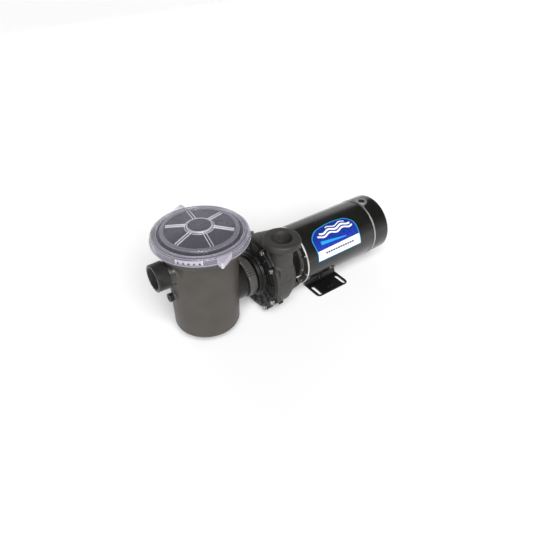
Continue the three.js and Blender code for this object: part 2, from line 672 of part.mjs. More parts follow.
function motorBase() {
  const rest = SHELL_RADIUS + GAP;
  const arc = (radius, from, to, steps) => Array.from({ length: steps + 1 }, (_, i) => {
    const [y, z] = polar(radius, from + ((to - from) * i) / steps);
    return [y, z + SHAFT_HEIGHT];
  });
  // Cross-section from the left foot over the cradle to the right foot and back underneath.
  const section = [
    [-BASE_HALF_WIDTH, 0], [-BASE_HALF_WIDTH, BASE_SHEET], [-31, BASE_SHEET],
    ...arc(rest + 0.4, 270 - CRADLE_ARC, 270 + CRADLE_ARC, 6),
    [31, BASE_SHEET], [BASE_HALF_WIDTH, BASE_SHEET], [BASE_HALF_WIDTH, 0], [27.5, 0],
    ...arc(rest + BASE_SHEET, 268 + CRADLE_ARC, 272 - CRADLE_ARC, 6), [-27.5, 0],
  ];
  const sheet = prism(section, -BASE_LENGTH / 2, BASE_LENGTH / 2).rotateX(Math.PI / 2).rotateZ(Math.PI / 2);
  const slots = [-1, 1].flatMap((alongX) => [-1, 1].map((acrossY) => {
    const x = (alongX * SLOT_PITCH_X) / 2;
    const y = (acrossY * SLOT_PITCH_Y) / 2;
    const flat = (SLOT_LENGTH - SLOT_WIDTH) / 2;
    const half = SLOT_WIDTH / 2;
    return joined(
      block([x - half, y - flat, -1], [x + half, y + flat, 5]),
      disc(half, -1, 5, 12).translate(x, y - flat, 0),
      disc(half, -1, 5, 12).translate(x, y + flat, 0),
    );
  }));
  const ribs = [-1, 1].map((side) => new ConvexGeometry([
    [-7, side * 29, 2], [7, side * 29, 2], [-7, side * 70, 2], [7, side * 70, 2],
    [-7, side * 25, 16], [7, side * 25, 16], [-7, side * 28, 16], [7, side * 28, 16],
    [-7, side * 70, 5.5], [7, side * 70, 5.5],
  ].map((corner) => new THREE.Vector3(...corner))));
  const corners = [-1, 1].flatMap((alongX) => [-1, 1].map((acrossY) => {
    const chip = prism([[0, 0], [9, 0], [6, 0.8], [3, 2.8], [0.8, 6], [0, 9]], -1, 5);
    const x = (alongX * BASE_LENGTH) / 2 + 0.01 * alongX;
    const y = acrossY * (BASE_HALF_WIDTH + 0.01);
    const turn = Math.atan2(-acrossY, -alongX) - Math.PI / 4;
    return chip.rotateZ(turn).translate(x, y, 0);
  }));
  return cut(joined(sheet, ...ribs), ...slots, ...corners);
}

const motor = new THREE.Group();
motor.position.z = SHAFT_HEIGHT;
motor.rotation.set(Math.PI / 2, Math.PI / 2, 0);
motor.add(
  piece('front_end_bell', frontEndBell(), castAluminium),
  piece('motor_shell', ring(SHELL_RADIUS - SHELL_WALL, SHELL_RADIUS, SHELL_FRONT, SHELL_BACK), blackPaint),
  piece('rear_end_bell', rearEndBell(), castAluminium),
  piece('end_cap', endCap(), blackPaint),
  piece('motor_shaft', motorShaft(), steel),
  piece('rotor_core', rotorCore(), coreSteel),
  piece('stator_core', statorCore(), coreSteel),
  piece('front_winding', windingEnd(72, CORE_FRONT - 0.5), copper),
  piece('rear_winding', windingEnd(CORE_BACK + 0.5, 218), copper),
  ...[['front', 42.8], ['rear', 263.2]].flatMap(([place, low]) => [
    piece(`${place}_bearing_outer`, bearingOuter(low), steel),
    piece(`${place}_bearing_inner`, bearingInner(low), steel),
    piece(`${place}_bearing_balls`, bearingBalls(low), steel),
  ]),
  ...throughBolts.map((angle, i) => piece(`through_bolt_${i + 1}`, throughBolt(angle), steel)),
  ...SCREW_ANGLES.map((angle, i) => piece(`bracket_screw_${i + 1}`, bracketScrew(angle), steel)),
  piece('governor', governor(), blackPlastic),
  piece('switch_plate', switchPlate(), blackPlastic),
  piece('capacitor', capacitor(), blackPlastic),
  piece('capacitor_strap', capacitorStrap(), steel),
  piece('conduit_plug', conduitPlug(), blackPlastic),
  piece('label', label(), printedLabel),
);

const base = piece('motor_base', motorBase(), blackPaint);
base.position.x = BASE_X;

const pump = new THREE.Group();
pump.add(strainer, wetEnd, motor, base);

export default pump;
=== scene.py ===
"""Pool pump: strainer pot with a clear locking lid, union, volute and motor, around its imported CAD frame."""

import json
import math

import bmesh
import bpy
from mathutils import Matrix, Vector


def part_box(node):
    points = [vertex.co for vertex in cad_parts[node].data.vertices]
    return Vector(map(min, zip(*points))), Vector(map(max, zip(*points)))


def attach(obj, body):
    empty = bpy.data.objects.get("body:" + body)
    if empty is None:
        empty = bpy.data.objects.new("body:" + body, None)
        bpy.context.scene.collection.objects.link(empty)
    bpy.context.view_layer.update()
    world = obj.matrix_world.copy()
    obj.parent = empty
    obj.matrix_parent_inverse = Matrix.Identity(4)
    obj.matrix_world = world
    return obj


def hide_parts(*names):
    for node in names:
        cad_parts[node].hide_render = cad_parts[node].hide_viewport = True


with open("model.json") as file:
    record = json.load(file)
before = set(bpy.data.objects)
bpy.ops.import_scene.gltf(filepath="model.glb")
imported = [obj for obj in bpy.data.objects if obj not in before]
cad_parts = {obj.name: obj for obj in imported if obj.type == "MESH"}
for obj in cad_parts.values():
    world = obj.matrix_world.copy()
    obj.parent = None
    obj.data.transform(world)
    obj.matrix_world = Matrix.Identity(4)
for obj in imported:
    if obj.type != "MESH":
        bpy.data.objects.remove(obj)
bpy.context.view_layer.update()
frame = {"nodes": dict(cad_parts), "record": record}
RECORD = frame["record"]
SLOT_OF = {part["node"]: part["material_slot"] for part in RECORD["subparts"]}
BODY_OF = {node: body for body, nodes in RECORD["behaviour"]["bodies"].items() for node in nodes}

# ---------------------------------------------------------------- places, in millimetres, from the frame
MM = 0.001


def span(node):
    """Lowest and highest corner of a CAD node, in millimetres."""
    low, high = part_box(node)
    return low / MM, high / MM


SHELL_LOW, SHELL_HIGH = span("motor_shell")
SHAFT_Z = (SHELL_LOW.z + SHELL_HIGH.z) / 2
SHELL_R = (SHELL_HIGH.z - SHELL_LOW.z) / 2
SHELL_FRONT, SHELL_BACK = SHELL_LOW.x, SHELL_HIGH.x
CAP_END = span("end_cap")[1].x
CASING_HIGH = span("volute_casing")[1]
CASING_BACK = CASING_HIGH.x
COLLAR_TOP = CASING_HIGH.z
NUT_LOW, NUT_HIGH = span("union_nut")
NUT_R = (NUT_HIGH.z - NUT_LOW.z) / 2
POT_LOW, POT_HIGH = span("strainer_pot")
POT_BOTTOM, POT_RIM = POT_LOW.z, POT_HIGH.z
INLET_END = POT_LOW.x
LID_LOW, LID_HIGH = span("lid")
LID_TOP = LID_HIGH.z
POT_X = (LID_LOW.x + LID_HIGH.x) / 2
RING_LOW, RING_HIGH = span("lock_ring")
BASE_LOW, BASE_HIGH = span("motor_base")
BASE_X = (BASE_LOW.x + BASE_HIGH.x) / 2
CONDUIT_LOW, CONDUIT_HIGH = span("conduit_plug")
CONDUIT_X = (CONDUIT_LOW.x + CONDUIT_HIGH.x) / 2
PLUG_LOW, PLUG_HIGH = span("pot_plug")
PLUG_Z = (PLUG_LOW.z + PLUG_HIGH.z) / 2

INLET_Z = 181.6
INLET_R = 30.15
DISCHARGE_X = -28.9
DISCHARGE_Y = -60.5
COVER_FACE = -64.65
CASING_FRONT = -56.3
BOLT_CIRCLE = 87
BOLT_ANGLES = [9, 63, 117, 146, 203, 234, 290, 329]
BLIND = (110, 210)               # bolts between these angles end in the wall of the discharge
SCREW_CIRCLE = 62                # the four screws that hold the bracket to the motor
SCREW_ANGLES = [70, 105, 250, 285]
THROUGH_BOLT_CIRCLE = 65
THROUGH_BOLT_ANGLES = [40, 130, 220, 310]
WEB_OVER = (60, 120)             # the bracket is open on both sides, between these two webs
WEB_UNDER = (230, 300)
BELL_EDGE_ANGLE = 226            # where the front bell's cast edge runs out to its rim
DRAIN_ANGLE = 232
LUGS = 4
FIRST_LUG = -132.5               # the middle of the first lug, with the lock ring closed
THREAD_PITCH = 2.2               # 11.5 turns to the inch
BORE_R = 26                      # parts a threaded pipe end's inner surface from its outer one
FINE = 128                       # sides of a large round
VOXEL = 0.9

# Frames of the three groups: the object itself, the pot's upright axis, and the shaft. A shape about the
# shaft is drawn with its x along +Y, its y along +Z and its z along +X.
WORLD = Matrix.Scale(MM, 4)
POT = WORLD @ Matrix.Translation((POT_X, 0, 0))
LYING = Matrix(((0, 0, 1, 0), (1, 0, 0, 0), (0, 1, 0, 0), (0, 0, 0, 1)))
SHAFT = WORLD @ Matrix.Translation((0, 0, SHAFT_Z)) @ LYING


# ---------------------------------------------------------------- shapes
def new_object(name, vertices, faces):
    mesh = bpy.data.meshes.new(name)
    mesh.from_pydata([tuple(v) for v in vertices], [], faces)
    mesh.validate()
    body = bmesh.new()
    body.from_mesh(mesh)
    bmesh.ops.recalc_face_normals(body, faces=body.faces)
    body.to_mesh(mesh)
    body.free()
    obj = bpy.data.objects.new(name, mesh)
    bpy.context.scene.collection.objects.link(obj)
    return obj


def rounded(points, radius=0.8, steps=4, closed=True):
    """An outline with its corners rounded; a point may carry its own radius as a third number."""
    outline = []
    last = len(points) - 1
    for i, point in enumerate(points):
        here = Vector(point[:2])
        fillet = point[2] if len(point) > 2 else radius
        if fillet <= 0 or (not closed and i in (0, last)):
            outline.append(here)
            continue
        before = Vector(points[i - 1][:2]) - here
        after = Vector(points[(i + 1) % len(points)][:2]) - here
        reach = min(fillet, 0.45 * before.length, 0.45 * after.length)
        start = here + before.normalized() * reach
        end = here + after.normalized() * reach
        for k in range(steps + 1):
            t = k / steps
            outline.append(start * (1 - t) ** 2 + here * 2 * t * (1 - t) + end * t**2)
    return outline


def lathe(points, sides=FINE, radius=0.8, shape=None):
    """Turns [radius, height] points about z. shape(angle, radius, height) may move a point in or out."""
    on_axis = points[0][0] == 0
    outline = rounded(points, radius, closed=not on_axis)
    vertices, faces, rows = [], [], []
    for point in outline:
        if point.x < 1e-6:
            rows.append([len(vertices)] * sides)
            vertices.append((0, 0, point.y))
            continue
        rows.append(list(range(len(vertices), len(vertices) + sides)))
        for i in range(sides):
            angle = 2 * math.pi * i / sides
            r = shape(angle, point.x, point.y) if shape else point.x
            vertices.append((r * math.cos(angle), r * math.sin(angle), point.y))
    pairs = list(zip(rows, rows[1:])) + ([] if on_axis else [(rows[-1], rows[0])])
    for low, high in pairs:
        for i in range(sides):
            j = (i + 1) % sides
            corners = [low[i], low[j], high[j], high[i]]
            face = [v for k, v in enumerate(corners) if v != corners[k - 1]]
            if len(set(face)) > 2:
                faces.append(face)
    return new_object("turned", vertices, faces)


def prism(outline, low, high, name="prism"):
    count = len(outline)
    vertices = [(p[0], p[1], h) for h in (low, high) for p in outline]
    faces = [list(range(count))[::-1], list(range(count, 2 * count))]
    faces += [[i, (i + 1) % count, count + (i + 1) % count, count + i] for i in range(count)]
    return new_object(name, vertices, faces)


def block(low, high):
    (x0, y0, z0), (x1, y1, z1) = low, high
    return prism([(x0, y0), (x1, y0), (x1, y1), (x0, y1)], z0, z1)


def ring(inner, outer, low, high, sides=FINE, edge=0.0):
    return lathe([(inner, low), (outer, low), (outer, high), (inner, high)], sides, edge)


def disc(radius, low, high, sides=48, edge=0.0):
    return ring(0, radius, low, high, sides, edge)


def hexagon(across, low, high, chamfer=0.9):
    """A hexagon bar end with its corners turned down at both ends."""
    flat = across / 2

    def shape(angle, r, _):
        turn = (angle + math.pi / 6) % (math.pi / 3) - math.pi / 6
        return min(r, flat / math.cos(turn))

    corner = flat / math.cos(math.pi / 6)
    face = flat - 0.3
    side = [(corner, low + chamfer), (corner, high - chamfer)]
    return lathe([(0, low), (face, low), *side, (face, high), (0, high)], 48, 0.0, shape)


def moved(obj, matrix):
    obj.data.transform(matrix)
    return obj


def shifted(obj, x=0, y=0, z=0):
    return moved(obj, Matrix.Translation((x, y, z)))


def spun(obj, angle, axis="Z"):
    return moved(obj, Matrix.Rotation(math.radians(angle), 4, axis))


def polar(radius, angle):
    return radius * math.cos(math.radians(angle)), radius * math.sin(math.radians(angle))


def along_arc(radius, start, sweep, steps):
    return [polar(radius, start + sweep * k / steps) for k in range(steps + 1)]


def curved_bar(outer, inner, start, sweep, low, high, steps=12):
    """A bar bent round the axis, between two radii and two heights."""
    rim, foot = along_arc(outer, start, sweep, steps), along_arc(inner, start, sweep, steps)
    return prism(rim + foot[::-1], low, high)


def along_x(obj, side=1):
    """Turns a shape drawn about z so that it points along +X or, with side -1, along -X."""
    return spun(obj, 90 * side, "Y")


def on_inlet(obj):
    return shifted(along_x(obj, -1), z=INLET_Z)


def on_outlet(obj):
    return shifted(along_x(obj), z=SHAFT_Z)


def on_pot_plug(obj):
    return shifted(along_x(obj, -1), z=PLUG_Z)


def on_conduit(obj):
    return shifted(spun(obj, -90, "X"), z=CONDUIT_X)


def on_discharge(obj):
    return shifted(spun(obj, -90, "X"), x=DISCHARGE_Y, z=DISCHARGE_X)


def on_drain(obj):
    return shifted(spun(along_x(obj), DRAIN_ANGLE), z=-25)


def apply_modifiers(obj):
    mesh = bpy.data.meshes.new_from_object(obj.evaluated_get(bpy.context.evaluated_depsgraph_get()))
    obj.modifiers.clear()
    obj.data = mesh
    return obj


def boolean(obj, tools, operation):
    for tool in tools:
        step = obj.modifiers.new("step", "BOOLEAN")
        step.operation = operation
        step.solver = "EXACT"
        step.object = tool
    apply_modifiers(obj)
    for tool in tools:
        bpy.data.objects.remove(tool)
    return obj


def union(obj, *tools):
    return boolean(obj, tools, "UNION")


def subtract(obj, *tools):
    return boolean(obj, tools, "DIFFERENCE")


def intersect(obj, *tools):
    return boolean(obj, tools, "INTERSECT")


def bevelled(obj, width=0.6, segments=3, angle=35):
    step = obj.modifiers.new("bevel", "BEVEL")
    step.width = width
    step.segments = segments
    step.limit_method = "ANGLE"
    step.angle_limit = math.radians(angle)
    return apply_modifiers(obj)


def moulded(obj, voxel=None, rounds=6):
    """Remeshes a built-up shape and softens it, so that its parts flow together as in a mould."""
    step = obj.modifiers.new("fuse", "REMESH")
    step.mode = "VOXEL"
    step.voxel_size = voxel or VOXEL
    ease = obj.modifiers.new("ease", "SMOOTH")
    ease.factor = 0.5
    ease.iterations = rounds
    return apply_modifiers(obj)


def piece(obj, name, material, place, node, whole=True, angle=32):
    """Finishes a shape that takes a CAD node's place, or adds to the one that does where whole is False."""
    obj.name = name
    obj.data.name = name
    obj.data.transform(place)
    obj.data.materials.clear()
    obj.data.materials.append(material)
    obj.data.shade_smooth()
    obj.data.set_sharp_from_angle(angle=math.radians(angle))
    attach(obj, BODY_OF[node])
    if whole:
        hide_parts(node)


# ---------------------------------------------------------------- materials
class Graph:
    """A node material with a Principled shader and short calls for what feeds it."""

    def __init__(self, name):
        self.material = bpy.data.materials.new(name)
        self.material.use_nodes = True
        self.tree = self.material.node_tree
        self.shader = self.tree.nodes["Principled BSDF"]
        self.place = self.add("ShaderNodeTexCoord").outputs["Object"]

    def add(self, kind, inputs=None, **settings):
        node = self.tree.nodes.new(kind)
        for key, value in settings.items():
            setattr(node, key, value)
        for key, value in (inputs or {}).items():
            self.feed(node.inputs[key], value)
        return node

    def feed(self, socket, value):
        if isinstance(value, bpy.types.NodeSocket):
            self.tree.links.new(value, socket)
        else:
            socket.default_value = value

    def math(self, operation, first, second=0.0):
        return self.add("ShaderNodeMath", {0: first, 1: second}, operation=operation).outputs[0]

    def noise(self, scale, detail=3.0, vector=None):
        inputs = {"Vector": vector or self.place, "Scale": scale, "Detail": detail}
        return self.add("ShaderNodeTexNoise", inputs).outputs["Fac"]

    def bands(self, scale, **inputs):
        """Stripes across the shaft."""
        inputs = {"Vector": self.place, "Scale": scale, **inputs}
        return self.add("ShaderNodeTexWave", inputs, bands_direction="X").outputs["Fac"]

    def stretched(self, x, y, z):
        return self.add("ShaderNodeMapping", {"Vector": self.place, "Scale": (x, y, z)}).outputs["Vector"]

    def ranged(self, value, low, high, to_low=0.0, to_high=1.0):
        inputs = {"Value": value, "From Min": low, "From Max": high, "To Min": to_low, "To Max": to_high}
        return self.add("ShaderNodeMapRange", inputs).outputs["Result"]

    def mixed(self, share, first, second):
        node = self.add("ShaderNodeMix", {"Factor": share}, data_type="RGBA")
        for socket, value in ((node.inputs[6], first), (node.inputs[7], second)):
            self.feed(socket, value if isinstance(value, bpy.types.NodeSocket) else (*value, 1))
        return node.outputs[2]

    def patchy(self, pattern, low, high, first, second):
        """One colour where a pattern is under low, another where it is over high."""
        return self.mixed(self.ranged(pattern, low, high), first, second)

    def bump(self, height, strength, distance, normal=None):
        node = self.add("ShaderNodeBump", {"Strength": strength, "Distance": distance, "Height": height})
        if normal:
            self.feed(node.inputs["Normal"], normal)
        return node.outputs["Normal"]

    def edges(self, low=0.52, high=0.6):
        """How sharp and proud the surface is, from 0 on flats to 1 on sharp edges, which the opaque materials
        wear and the clear ones light with a painted highlight.
        """
        geometry = self.add("ShaderNodeNewGeometry")
        return self.ranged(geometry.outputs["Pointiness"], low, high)

    def set(self, **values):
        for name, value in values.items():
            self.feed(self.shader.inputs[name.replace("_", " ")], value)
        return self


def scaled(colour, factor):
    return tuple(min(1.0, c * factor) for c in colour)


def moulded_plastic(name, colour, roughness=0.45, grain=0.12, sheen=0.35, worn=0.5):
    """Satin injection moulding: fine grain, faint flow clouds, and edges worn lighter."""
    g = Graph(name)
    clouds = g.noise(26, 4)
    flow = g.noise(9, 2, g.stretched(1, 1, 3.5))
    tint = g.patchy(clouds, 0.35, 0.65, scaled(colour, 0.9), scaled(colour, 1.1))
    tint = g.mixed(g.math("MULTIPLY", g.edges(), worn), tint, scaled(colour, 2.0))
    rough = g.ranged(g.math("ADD", clouds, flow), 0.7, 1.3, roughness - 0.05, roughness + 0.07)
    pits = g.noise(1700, 2)
    waves = g.bump(g.noise(60, 2), 0.06, 0.002)
    finish = g.bump(pits, grain, 0.0003, waves)
    g.set(Base_Color=tint, Roughness=rough, Normal=finish, Specular_IOR_Level=sheen)
    return g.material


def gloss_paint(name, colour, roughness=0.16, metal=(0.16, 0.16, 0.155)):
    """Sprayed enamel over steel: orange peel, dust in the finish, bare metal at a few sharp edges."""
    g = Graph(name)
    peel = g.noise(420, 2)
    haze = g.noise(18, 5)
    chips = g.math("MULTIPLY", g.edges(0.56, 0.66), g.ranged(g.noise(140, 4), 0.52, 0.62, 0, 0.6))
    tint = g.patchy(haze, 0.4, 0.7, colour, scaled(colour, 1.6))
    g.set(
        Base_Color=g.mixed(chips, tint, metal),
        Roughness=g.ranged(haze, 0.3, 0.7, roughness - 0.03, roughness + 0.08),
        Normal=g.bump(peel, 0.05, 0.0004),
        Specular_IOR_Level=0.5,
        Coat_Weight=0.25,
        Coat_Roughness=0.12,
    )
    return g.material


def bare_metal(name, colour, roughness=0.3, streaks=(1, 1, 1), grain=0.08):
    """Ground or plated metal with fine streaks and slightly dulled patches."""
    g = Graph(name)
    lines = g.noise(900, 3, g.stretched(*streaks))
    dull = g.noise(70, 4)
    tint = g.patchy(dull, 0.35, 0.7, colour, scaled(colour, 0.78))
    g.set(
        Base_Color=tint,
        Metallic=1.0,
        Roughness=g.ranged(g.math("ADD", lines, dull), 0.7, 1.3, roughness - 0.06, roughness + 0.12),
        Normal=g.bump(lines, grain, 0.0002),
    )
    return g.material


def clear_plastic(name, colour, haze=0.07, body=0.1):
    """Clear polycarbonate: mostly see-through, milkier where it is seen edge on, with painted highlights on
    its sharp edges, which turn whitish and more opaque.
    """
    g = Graph(name)
    scuffs = g.noise(500, 5, g.stretched(1, 4, 1))
    clouds = g.noise(20, 3)
    facing = g.add("ShaderNodeLayerWeight", {"Blend": 0.35}).outputs["Facing"]
    # Painted highlight: sharp edges are mixed towards a pale colour and made more opaque.
    edge_highlight = g.edges(0.53, 0.6)
    density = g.math("ADD", g.math("MULTIPLY", facing, 0.5), g.math("MULTIPLY", edge_highlight, 0.75))
    density = g.math("ADD", density, g.ranged(scuffs, 0.4, 0.75, body, body + 0.1))
    tint = g.patchy(clouds, 0.3, 0.7, colour, scaled(colour, 0.8))
    g.set(
        Base_Color=g.mixed(edge_highlight, tint, (0.85, 0.83, 0.9)),
        Roughness=g.ranged(scuffs, 0.4, 0.75, haze, haze + 0.16),
        Alpha=g.math("MINIMUM", density, 1.0),
        IOR=1.5,
        Specular_IOR_Level=0.9,
        Normal=g.bump(g.noise(45, 2), 0.05, 0.001),
    )
    return g.material


def rubber_material():
    g = Graph("rubber_skin")
    bloom = g.noise(90, 5)
    g.set(
        Base_Color=g.patchy(bloom, 0.4, 0.7, (0.012, 0.012, 0.012), (0.035, 0.034, 0.033)),
        Roughness=g.ranged(bloom, 0.3, 0.7, 0.62, 0.8),
        Normal=g.bump(g.noise(1300, 3), 0.15, 0.0002),
        Specular_IOR_Level=0.3,
    )
    return g.material


def copper_windings():
    """Enamelled wire laid in turns, tied with lacing."""
    g = Graph("winding_wire")
    strands = g.bands(280, Distortion=3.0, Detail=2.0)
    g.set(
        Base_Color=g.mixed(strands, (0.16, 0.045, 0.016), (0.55, 0.23, 0.09)),
        Metallic=0.7,
        Roughness=g.ranged(g.noise(120, 3), 0.3, 0.7, 0.28, 0.45),
        Normal=g.bump(strands, 0.6, 0.0006),
    )
    return g.material


def stacked_core():
    """Punched laminations, half a millimetre thick, stacked along the shaft."""
    g = Graph("core_stack")
    sheets = g.bands(320)
    rust = g.ranged(g.noise(60, 5), 0.55, 0.72, 0, 0.35)
    g.set(
        Base_Color=g.mixed(rust, g.mixed(sheets, (0.12, 0.12, 0.125), (0.3, 0.3, 0.31)), (0.16, 0.07, 0.03)),
        Metallic=0.85,
        Roughness=g.ranged(sheets, 0, 1, 0.55, 0.38),
        Normal=g.bump(sheets, 0.5, 0.0002),
    )
    return g.material


def ceramic_material():
    g = Graph("seal_ceramic")
    speck = g.noise(600, 4)
    g.set(
        Base_Color=g.patchy(speck, 0.5, 0.7, (0.82, 0.8, 0.74), (0.72, 0.69, 0.62)),
        Roughness=g.ranged(speck, 0.3, 0.7, 0.18, 0.3),
        Normal=g.bump(speck, 0.04, 0.0002),
    )
    return g.material


def painted_casting(name, bare_rings):
    """Dark paint over cast aluminium, bare where the distance from the shaft is in one of bare_rings."""
    g = Graph(name)
    split = g.add("ShaderNodeSeparateXYZ", {0: g.place})
    up = g.math("SUBTRACT", split.outputs["Z"], SHAFT_Z * MM)
    away = g.math("SQRT", g.math("ADD", g.math("POWER", split.outputs["Y"], 2), g.math("POWER", up, 2)))
    bare = 0.0
    for low, high in bare_rings:
        beyond = g.math("GREATER_THAN", away, low * MM)
        within = g.math("LESS_THAN", away, high * MM)
        bare = g.math("MAXIMUM", bare, g.math("MULTIPLY", beyond, within))
    sand = g.noise(700, 4)
    haze = g.noise(40, 4)
    metal = g.patchy(haze, 0.4, 0.7, (0.82, 0.82, 0.8), (0.6, 0.6, 0.58))
    paint = g.patchy(haze, 0.4, 0.7, (0.024, 0.022, 0.019), (0.046, 0.042, 0.037))
    g.set(
        Base_Color=g.mixed(bare, paint, metal),
        Metallic=bare,
        Roughness=g.ranged(sand, 0.3, 0.7, 0.38, 0.5),
        Normal=g.bump(sand, 0.25, 0.0003),
    )
    return g.material


POT_GREY = (0.058, 0.052, 0.046)
CASING_GREY = (0.038, 0.0365, 0.034)
BLACK = (0.0075, 0.0073, 0.007)

pot_skin = moulded_plastic("pot_skin", POT_GREY, 0.46, 0.10)
casing_skin = moulded_plastic("casing_skin", CASING_GREY, 0.48, 0.14)
# A darker copy of the casing's plastic for the discharge collar: painted shade.
collar_painted_shade = moulded_plastic("collar_painted_shade", scaled(CASING_GREY, 0.75), 0.5, 0.12)
black_skin = moulded_plastic("black_skin", BLACK, 0.36, 0.12, sheen=0.3)
spigot_skin = moulded_plastic("spigot_skin", (0.02, 0.0195, 0.019), 0.33, 0.08)
neck_skin = moulded_plastic("neck_skin", (0.028, 0.027, 0.026), 0.26, 0.05, sheen=0.6)
nut_skin = moulded_plastic("nut_skin", (0.06, 0.057, 0.054), 0.3, 0.06, sheen=0.5)
basket_skin = moulded_plastic("basket_skin", (0.045, 0.045, 0.048), 0.42, 0.1)
white_skin = moulded_plastic("white_skin", (0.7, 0.69, 0.64), 0.4, 0.08, worn=0.1)
clear_lid = clear_plastic("clear_lid", (0.2, 0.19, 0.24))
clear_ring = clear_plastic("clear_ring", (0.3, 0.28, 0.35), 0.09, 0.3)
# A lighter copy of the lid's plastic for its raised rim: a painted highlight band.
clear_rim_highlight = clear_plastic("clear_rim_highlight", (0.3, 0.285, 0.36), 0.08, 0.32)
# A lighter, more opaque copy of the clear plastic, which paints the bright highlight lines on the lid's ribs
# and rings and along the lock ring's edges.
clear_highlight = clear_plastic("clear_highlight", (0.62, 0.6, 0.68), 0.1, 0.42)
frosted = clear_plastic("frosted", (0.5, 0.47, 0.56), 0.4, 0.75)
rubber_skin = rubber_material()
enamel = gloss_paint("enamel", (0.0045, 0.0045, 0.004), 0.22)
base_enamel = gloss_paint("base_enamel", (0.0045, 0.0045, 0.0045), 0.3)
steel_skin = bare_metal("steel_skin", (0.74, 0.74, 0.72), 0.26)
bolt_skin = bare_metal("bolt_skin", (0.36, 0.355, 0.34), 0.26)
shaft_skin = bare_metal("shaft_skin", (0.66, 0.66, 0.65), 0.24, (0.2, 6, 6))
rim_metal = bare_metal("rim_metal", (0.56, 0.54, 0.545), 0.46, (8, 1, 1))
front_bell_skin = painted_casting("front_bell_skin", [(53.2, 55.4), (70.4, 80)])
wire_skin = copper_windings()
core_skin = stacked_core()
ceramic_skin = ceramic_material()


# ---------------------------------------------------------------- strainer pot
def strainer_pot():
    """The pot's shell with its inlet's saddle, its outlet and its plug's boss, as one moulding."""
    outside = lathe([
        (0, POT_BOTTOM), (72.1, POT_BOTTOM, 6), (75.3, 208, 6), (90.2, 220, 4), (93.2, 224, 2),
        (93.2, POT_RIM, 0.6), (0, POT_RIM),
    ])
    length = POT_X - INLET_END
    saddle = lathe([(0, 62), (31, 62), (28.5, 73, 4), (26, 77, 3), (26, length - 34), (0, length - 34)], 96)
    outlet = disc(41.5, 62, 79, 96, 0.8)
    boss = on_pot_plug(disc(10.5, 66, 77, edge=1))
    gusset = block((-77, -2.5, PLUG_Z), (-70, 2.5, INLET_Z - 25))
    body = moulded(union(outside, on_inlet(saddle), on_outlet(outlet), boss, gusset), VOXEL * 1.2, 8)
    inside = lathe([
        (0, POT_BOTTOM + 4.5), (67.6, POT_BOTTOM + 4.5, 5), (70.8, 212), (70.8, 222), (84, 222),
        (84, POT_RIM + 2), (0, POT_RIM + 2),
    ])
    groove = ring(86.8, 91.2, 240.5, POT_RIM + 2, FINE, 0.8)
    bores = [on_inlet(disc(21, 55, length)), on_outlet(disc(21, 50, -POT_X)), on_pot_plug(disc(5.4, 60, 90))]
    body = subtract(body, inside, groove, *bores)
    piece(body, "strainer_pot_shell", pot_skin, POT, "strainer_pot")


def outlet_flange():
    """The outlet stub from the pot's wall to the end that the union nut draws up to."""
    shoulder, end = -POT_X - 105, -POT_X - 92
    flange = lathe([
        (21, 52), (43.6, 52), (43.6, shoulder, 0.8), (40, shoulder + 0.2, 0.5), (40, end, 0.8),
        (30.5, end, 0.3), (30.5, end - 2), (24.5, end - 2), (24.5, end, 0.3), (21, end),
    ], FINE, 0.3)
    flange = subtract(on_outlet(flange), disc(72.2, 0, 200, 128))
    piece(flange, "outlet_flange", black_skin, POT, "strainer_pot", whole=False)


def pot_lugs():
    """The lugs round the rim, which the lock ring's own lugs turn under."""
    sweep = 31
    for i in range(LUGS):
        start = FIRST_LUG + 360 / LUGS * i - sweep / 2
        lug = bevelled(curved_bar(96.4, 92.8, start, sweep, 240.3, POT_RIM), 0.5)
        piece(lug, f"pot_lug_{i + 1}", pot_skin, POT, "strainer_pot", whole=False)


def thread_wave(angle, z):
    """A helical thread's depth at a place on it, from 0 on its crest to 1 in its root."""
    phase = (z / THREAD_PITCH - angle / (2 * math.pi)) % 1.0
    return abs(2 * phase - 1) ** 0.8


def thread_rows(radius_low, radius_high, low, high):
    """Points close enough together along a threaded stretch to carry its thread."""
    count = int((high - low) / (THREAD_PITCH / 6))
    rise, run = (radius_high - radius_low) / count, (high - low) / count
    return [(radius_low + rise * k, low + run * k, 0) for k in range(count + 1)]


def inlet_spigot():
    """Pipe thread outside and inside, on the end of the inlet's neck. The outer one fades in over a turn."""
    length = POT_X - INLET_END
    outer_low, outer_high = length - 27, length - 1.5
    inner_low, inner_high = length - 22, length - 1.2
    outer = thread_rows(INLET_R, INLET_R - 0.7, outer_low + 1.5, outer_high)
    inner = thread_rows(21.6, 23.4, inner_low, inner_high)[::-1]

    def shape(angle, r, z):
        if r > BORE_R and outer_low < z < outer_high:
            fade = min(1.0, (z - outer_low) / THREAD_PITCH, (outer_high - z) / THREAD_PITCH)
            return r - 1.25 * fade * thread_wave(angle, z)
        if r <= BORE_R and inner_low < z < inner_high:
            return r + thread_wave(angle, z)
        return r

    points = [(24, outer_low, 0.5), (29.4, outer_low, 0.4), *outer, (INLET_R - 1.8, length, 0.5)]
    points += [(24.6, length, 0.5), *inner, (21, inner_low - 1, 0), (21, outer_low, 0)]
    spigot = on_inlet(lathe(points, 120, 0.4, shape))
    piece(spigot, "inlet_spigot", spigot_skin, POT, "strainer_pot", whole=False, angle=50)
    neck = on_inlet(lathe([
        (21, 67), (29.5, 67), (27.4, 75, 3), (26.6, 80, 2), (26.2, outer_low - 1.6, 1),
        (25, outer_low + 0.2), (21, outer_low + 0.2),
    ], FINE, 0.5))
    piece(neck, "inlet_neck", neck_skin, POT, "strainer_pot", whole=False)


strainer_pot()
outlet_flange()
pot_lugs()
inlet_spigot()


